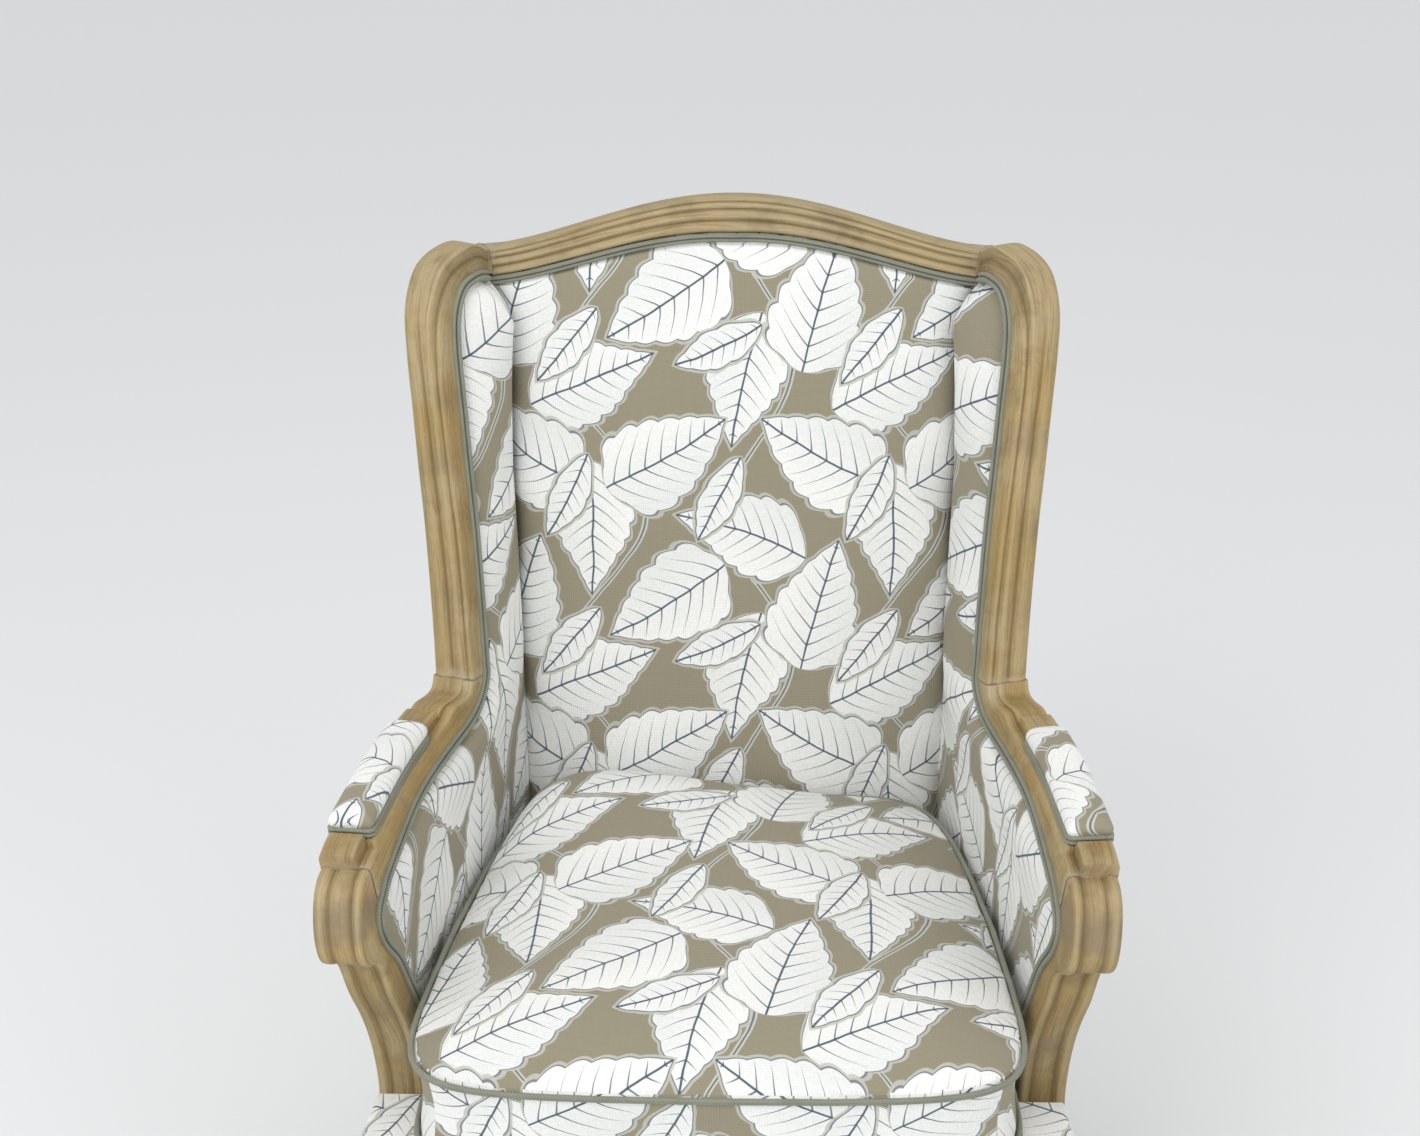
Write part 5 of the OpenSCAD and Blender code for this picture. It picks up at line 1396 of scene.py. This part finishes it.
welt_lean, welt_over, welt_rise = 0.5, 0.0028, 0.0033
for side, side_name in sides:
    for name, base, out, node in (("side_welt", pad_edge + welt_gap, -1, "side_trim"),
                                  ("outside_side_welt", outside_inset - welt_gap, 1,
                                   "outside_side_trim")):
        spots = [edge_point(row, gap + welt_w / 2 - (welt_over if out < 0 else 0))
                 for row in edge_rows]
        line = [in_side(*f, base + (welt_rise - slim(i) if out < 0 else 0))
                for i, f in enumerate(spots)]
        outward = [side_normal(*f) * out for f in spots]
        if out < 0:
            # inside, it laps over the show wood's edge and leans towards it
            ways = np.gradient(np.array(line), axis=0)
            for i, (row, way) in enumerate(zip(edge_rows, ways)):
                lean_way = unit(on_side(*row[:2]) - on_side(*row[2:]))
                outward[i] = unit(outward[i] + welt_lean * lean_way)
                outward[i] = unit(outward[i] - unit(way) * (outward[i] @ unit(way)))
        else:
            # outside, it starts at the rear post
            line = [in_side(-0.004, spots[0][1], base)] + line
            outward = [side_normal(-0.004, spots[0][1])] + outward
        double_welt(f"{name}_{side_name}", turned(line, side), turned(outward, side), False,
                    f"{node}_{side_name}",
                    **(dict(tall=1.15, wide=1.25, deep=1.0) if out < 0 else {}))
    # round an arm pad's foot, the welt stands on edge against the pad's upright side
    spots = pad_outline(0.0036)
    line = np.array([on_arm(a, c, welt_w / 2) for a, c, _, _ in spots])
    out = np.array([on_arm(a + 0.001 * da, c + 0.001 * dc, welt_w / 2)
                    for a, c, da, dc in spots]) - line
    double_welt(f"arm_pad_welt_{side_name}", turned(line, side), turned(out, side), True,
                f"arm_pad_trim_{side_name}", tall=0.8)

line = [(x, back_y(crest_low(x) - welt_w / 2) - back_pad_t + welt_h - welt_gap,
         crest_low(x) + welt_gap - welt_w / 2) for x in np.linspace(-1, 1, 91) * back_top_half]
double_welt("back_welt", line, [(0, -1.0, 0)] * len(line), False, "back_trim")

line = [(outside_half(z) - welt_w / 2, z) for z in
        np.linspace(rail_top + gap, crest_low(crest_half) - gap - welt_w, 24)]
line += [(x, crest_low(x) - gap - welt_w / 2) for x in
         np.linspace(0.985, 0, 31) * outside_half(post_top)]
line = [(x, outside_y(z) + welt_gap, z) for x, z in line + [(-x, z) for x, z in line[:-1][::-1]]]
double_welt("outside_back_welt", line, [(0, 1.0, 0)] * len(line), False, "outside_back_trim")

end = ear_half(leg_front) - deck_round
line = [(x, deck_front(x) - welt_gap, rail_top + glue + welt_w / 2)
        for x in np.linspace(-end, end, 61)]
double_welt("deck_welt", line, [(0, -1.0, 0)] * len(line), False, "deck_trim")

# Tacks: blued steel tacks with small domed heads, driven up into the seat rails 28 mm apart,
# round the dust cover's edge. Their blueing is a dark blue-grey with a soft shine.
blued_steel, tree, shader = new_finish("blued steel tacks", Roughness=0.42, Metallic=1.0)
solid = add(tree, "TexCoord", out="Object")
speck = add(tree, "TexNoise", {"Vector": solid, "Scale": 700, "Detail": 2})
colour = add(tree, "Mix", {share_in: speck, under_in: linear("#32353b"),
                           over_in: linear("#565a60")}, out=2, data_type="RGBA")
set_inputs(shader, {"Base Color": colour})
tack_tree = new_group("tacks along a line", "GeometryNodeTree",
                      {"Line": "Geometry", "Spacing": "Float", "Head radius": "Float",
                       "Metal": "Material"}, {"Tacks": "Geometry"})
given = add(tack_tree, "NodeGroupInput")
radius = given.node.outputs["Head radius"]
line = add(tack_tree, "GeometryNodeMeshToCurve", [given])
line = add(tack_tree, "GeometryNodeResampleCurve",
           {"Curve": line, "Length": given.node.outputs["Spacing"]}, mode="LENGTH")
dome = 0.35
rim = add(tack_tree, "Math", [radius, dome], operation="MULTIPLY")
head = add(tack_tree, "GeometryNodeMeshCone",
           {"Vertices": 12, "Radius Top": radius, "Radius Bottom": rim, "Depth": rim})
tacks = add(tack_tree, "GeometryNodeInstanceOnPoints", {"Points": line, "Instance": head})
tacks = add(tack_tree, "GeometryNodeRealizeInstances", [tacks])
tacks = add(tack_tree, "GeometryNodeSetMaterial",
            {"Geometry": tacks, "Material": given.node.outputs["Metal"]})
add(tack_tree, "NodeGroupOutput", [tacks])
head_r, tack_spacing, tack_inset = 0.0035, 0.028, 0.007
line = [(x, y, cover_z - dome * head_r) for x, y in drawn_in(cover_line, tack_inset)]
tacks = from_nodes("dust_cover_tacks", line_mesh("line", line, True), tack_tree,
                   **{"Spacing": tack_spacing, "Head radius": head_r, "Metal": blued_steel})
own(tacks, blued_steel, "steel", "frame")

# Seat cushion: a loose feather cushion with a boxed edge and single piping in its own cloth,
# crowned and soft. It lifts out.
cushion_z = deck_top + welt_gap
cushion_middle = cushion_z + cushion_t / 2
cushion_rear = back_y(cushion_middle) - back_pad_t - 0.7 * back_crown
cushion_front = leg_front + 2 * welt_w
cushion_bow = 0.6 * rail_bow
belly, draw_in, piping_r, cushion_crown = 0.005, 0.005, 0.0030, 0.026
edge_in = piping_r + welt_gap
squareness = 7


def cushion_half(y):
    """Half the cushion's width, which follows the arm supports, from back to front."""
    return out_x(back_y(cushion_z) - y, cushion_z) - support_w * rail_slant - piping_r


def cushion_point(a, share, inset, z):
    """A point at an angle round the cushion's rounded square outline, at a share of its size."""
    u, v = (math.copysign(abs(w) ** (2 / squareness), w) for w in (math.cos(a), math.sin(a)))
    middle, half = (cushion_rear + cushion_front) / 2, (cushion_rear - cushion_front) / 2 - piping_r
    y = middle + v * share * (half - inset)
    return np.array([u * share * (cushion_half(y) - inset),
                     y + (cushion_bow * v * share * (1 - u * u) if v < 0 else 0), z])


voxel, pressure, steps = 0.006, 7.0, 20


def puffed(start, name, held, cap):
    """A padded piece swollen by a cloth simulation from a slightly smaller form. held are
    seam points that stay, and cap(normals) limits how far each point may move."""
    scene = bpy.context.scene
    net = start.modifiers.new("net", "REMESH")
    net.mode, net.voxel_size = "VOXEL", voxel
    grid = finished_mesh(start)
    bpy.data.objects.remove(start)
    piece = new_object(name, grid)
    tree = KDTree(len(held))
    for i, spot in enumerate(held):
        tree.insert(spot, i)
    tree.balance()
    pinned = piece.vertex_groups.new(name="held")
    pinned.add([v.index for v in grid.vertices if tree.find(v.co)[2] < 0.9 * voxel], 1, "ADD")
    cloth = piece.modifiers.new("swelling", "CLOTH")
    for setting, value in (("quality", 6), ("mass", 0.2), ("tension_stiffness", 12),
                           ("compression_stiffness", 12), ("bending_stiffness", 0.4),
                           ("use_pressure", True), ("uniform_pressure_force", pressure),
                           ("vertex_group_mass", "held")):
        setattr(cloth.settings, setting, value)
    cloth.settings.effector_weights.gravity = 0
    cloth.point_cache.frame_start, cloth.point_cache.frame_end = 1, steps
    for step in range(steps):
        scene.frame_set(1 + step)
    count = len(grid.vertices)
    before, after, out = np.empty(count * 3), np.empty(count * 3), np.empty(count * 3)
    grid.vertices.foreach_get("co", before)
    grid.vertices.foreach_get("normal", out)
    swollen = piece.evaluated_get(bpy.context.evaluated_depsgraph_get()).to_mesh()
    swollen.vertices.foreach_get("co", after)
    before, after, out = (v.reshape(-1, 3) for v in (before, after, out))
    move = after - before
    size = np.maximum(np.linalg.norm(move, axis=1), 1e-9)
    most = cap(out)
    move *= (most * np.tanh(size / most) / size)[:, None]
    piece.modifiers.remove(cloth)
    scene.frame_set(1)
    grid.vertices.foreach_set("co", (before + move).ravel())
    work = bmesh.new()
    work.from_mesh(grid)
    for _ in range(3):
        bmesh.ops.smooth_vert(work, verts=work.verts, factor=0.5, use_axis_x=True,
                              use_axis_y=True, use_axis_z=True)
    bmesh.ops.recalc_face_normals(work, faces=work.faces)
    work.to_mesh(grid)
    work.free()
    grid.polygons.foreach_set("use_smooth", [True] * len(grid.polygons))
    finer = piece.modifiers.new("finer", "SUBSURF")
    finer.levels = finer.render_levels = 1
    smooth = finished_mesh(piece)
    piece.modifiers.clear()
    piece.vertex_groups.clear()
    piece.data = smooth
    return piece


angles = np.linspace(0, 2 * math.pi, 161)[:-1]
low_welt, high_welt = cushion_z + belly, cushion_z + cushion_t - belly
rings = [[cushion_point(a, s, 0, cushion_z) for a in angles] for s in (0.3, 0.6, 0.93)]
rings.append([cushion_point(a, 1, edge_in, low_welt) for a in angles])
rings += [[cushion_point(a, 1, edge_in + draw_in * math.sin(math.pi * t),
                         mix(low_welt, high_welt, t)) for a in angles]
          for t in np.linspace(0.06, 0.94, 12)]
rings.append([cushion_point(a, 1, edge_in, high_welt) for a in angles])
# the filling has moved to the back, most of all on the left
heap, heap_x, heap_y, heap_w, heap_d = 0.034, -0.16, 0.14, 0.20, 0.13
for s in (0.985, 0.96, 0.92, 0.87, 0.8, 0.7, 0.6, 0.5, 0.4, 0.3, 0.2, 0.1, 0.03):
    z = high_welt + belly + (cushion_crown - belly) * (1 - s ** 10)
    ring = [cushion_point(a, s, edge_in * s, z) for a in angles]
    for q in ring:
        q[2] += heap * (1 - s ** 24) * math.exp(-((q[0] - heap_x) / heap_w) ** 2
                                                - ((q[1] - heap_y) / heap_d) ** 2)
    rings.append(ring)
held = [cushion_point(a, 1, edge_in, z) for a in np.linspace(0, 2 * math.pi, 901)
        for z in (low_welt, high_welt)]
top_swell, side_swell = 0.024, 0.004
cushion = puffed(loft("cushion_start", rings, uv_name="Cloth", crease=60),
                 "seat_cushion_cover", held,
                 lambda n: (np.where(n[:, 2] > 0.2, top_swell, side_swell)
                            * (0.3 + 0.7 * abs(n[:, 2]))))
if not cushion.data.uv_layers:
    cushion.data.uv_layers.new(name="Cloth")
for point in cushion.data.vertices:
    point.co.z = max(point.co.z, cushion_z)
lay_cloth(cushion.data, 0.85)
linen_of_cushion = printed_linen("printed linen, cushion", (0.05, 0.02))
own(cushion, linen_of_cushion, "print_cloth", "cushion", "seat_cushion", fill=0.7)
section = line_mesh("section", [(piping_r * math.cos(b), piping_r * math.sin(b), 0)
                                for b in np.radians(np.arange(0, 360, 30))], True)
angles = np.linspace(0, 2 * math.pi, 241)[:-1] + math.pi / 2
for z, name, node in ((high_welt, "cushion_piping_top", "cushion_welt_top"),
                      (low_welt, "cushion_piping_bottom", "cushion_welt_bottom")):
    line = [cushion_point(a, 1, piping_r * 0.6, z) for a in angles]
    piping = from_nodes(name, line_mesh("path", line, True,
                                        outward=[(math.cos(a), math.sin(a), 0) for a in angles]),
                        cord_tree, Section=section, Covering=sage_welt)
    own(piping, sage_welt, "welt_cord", "cushion", node, fill=1.0)
bpy.data.objects.remove(section)
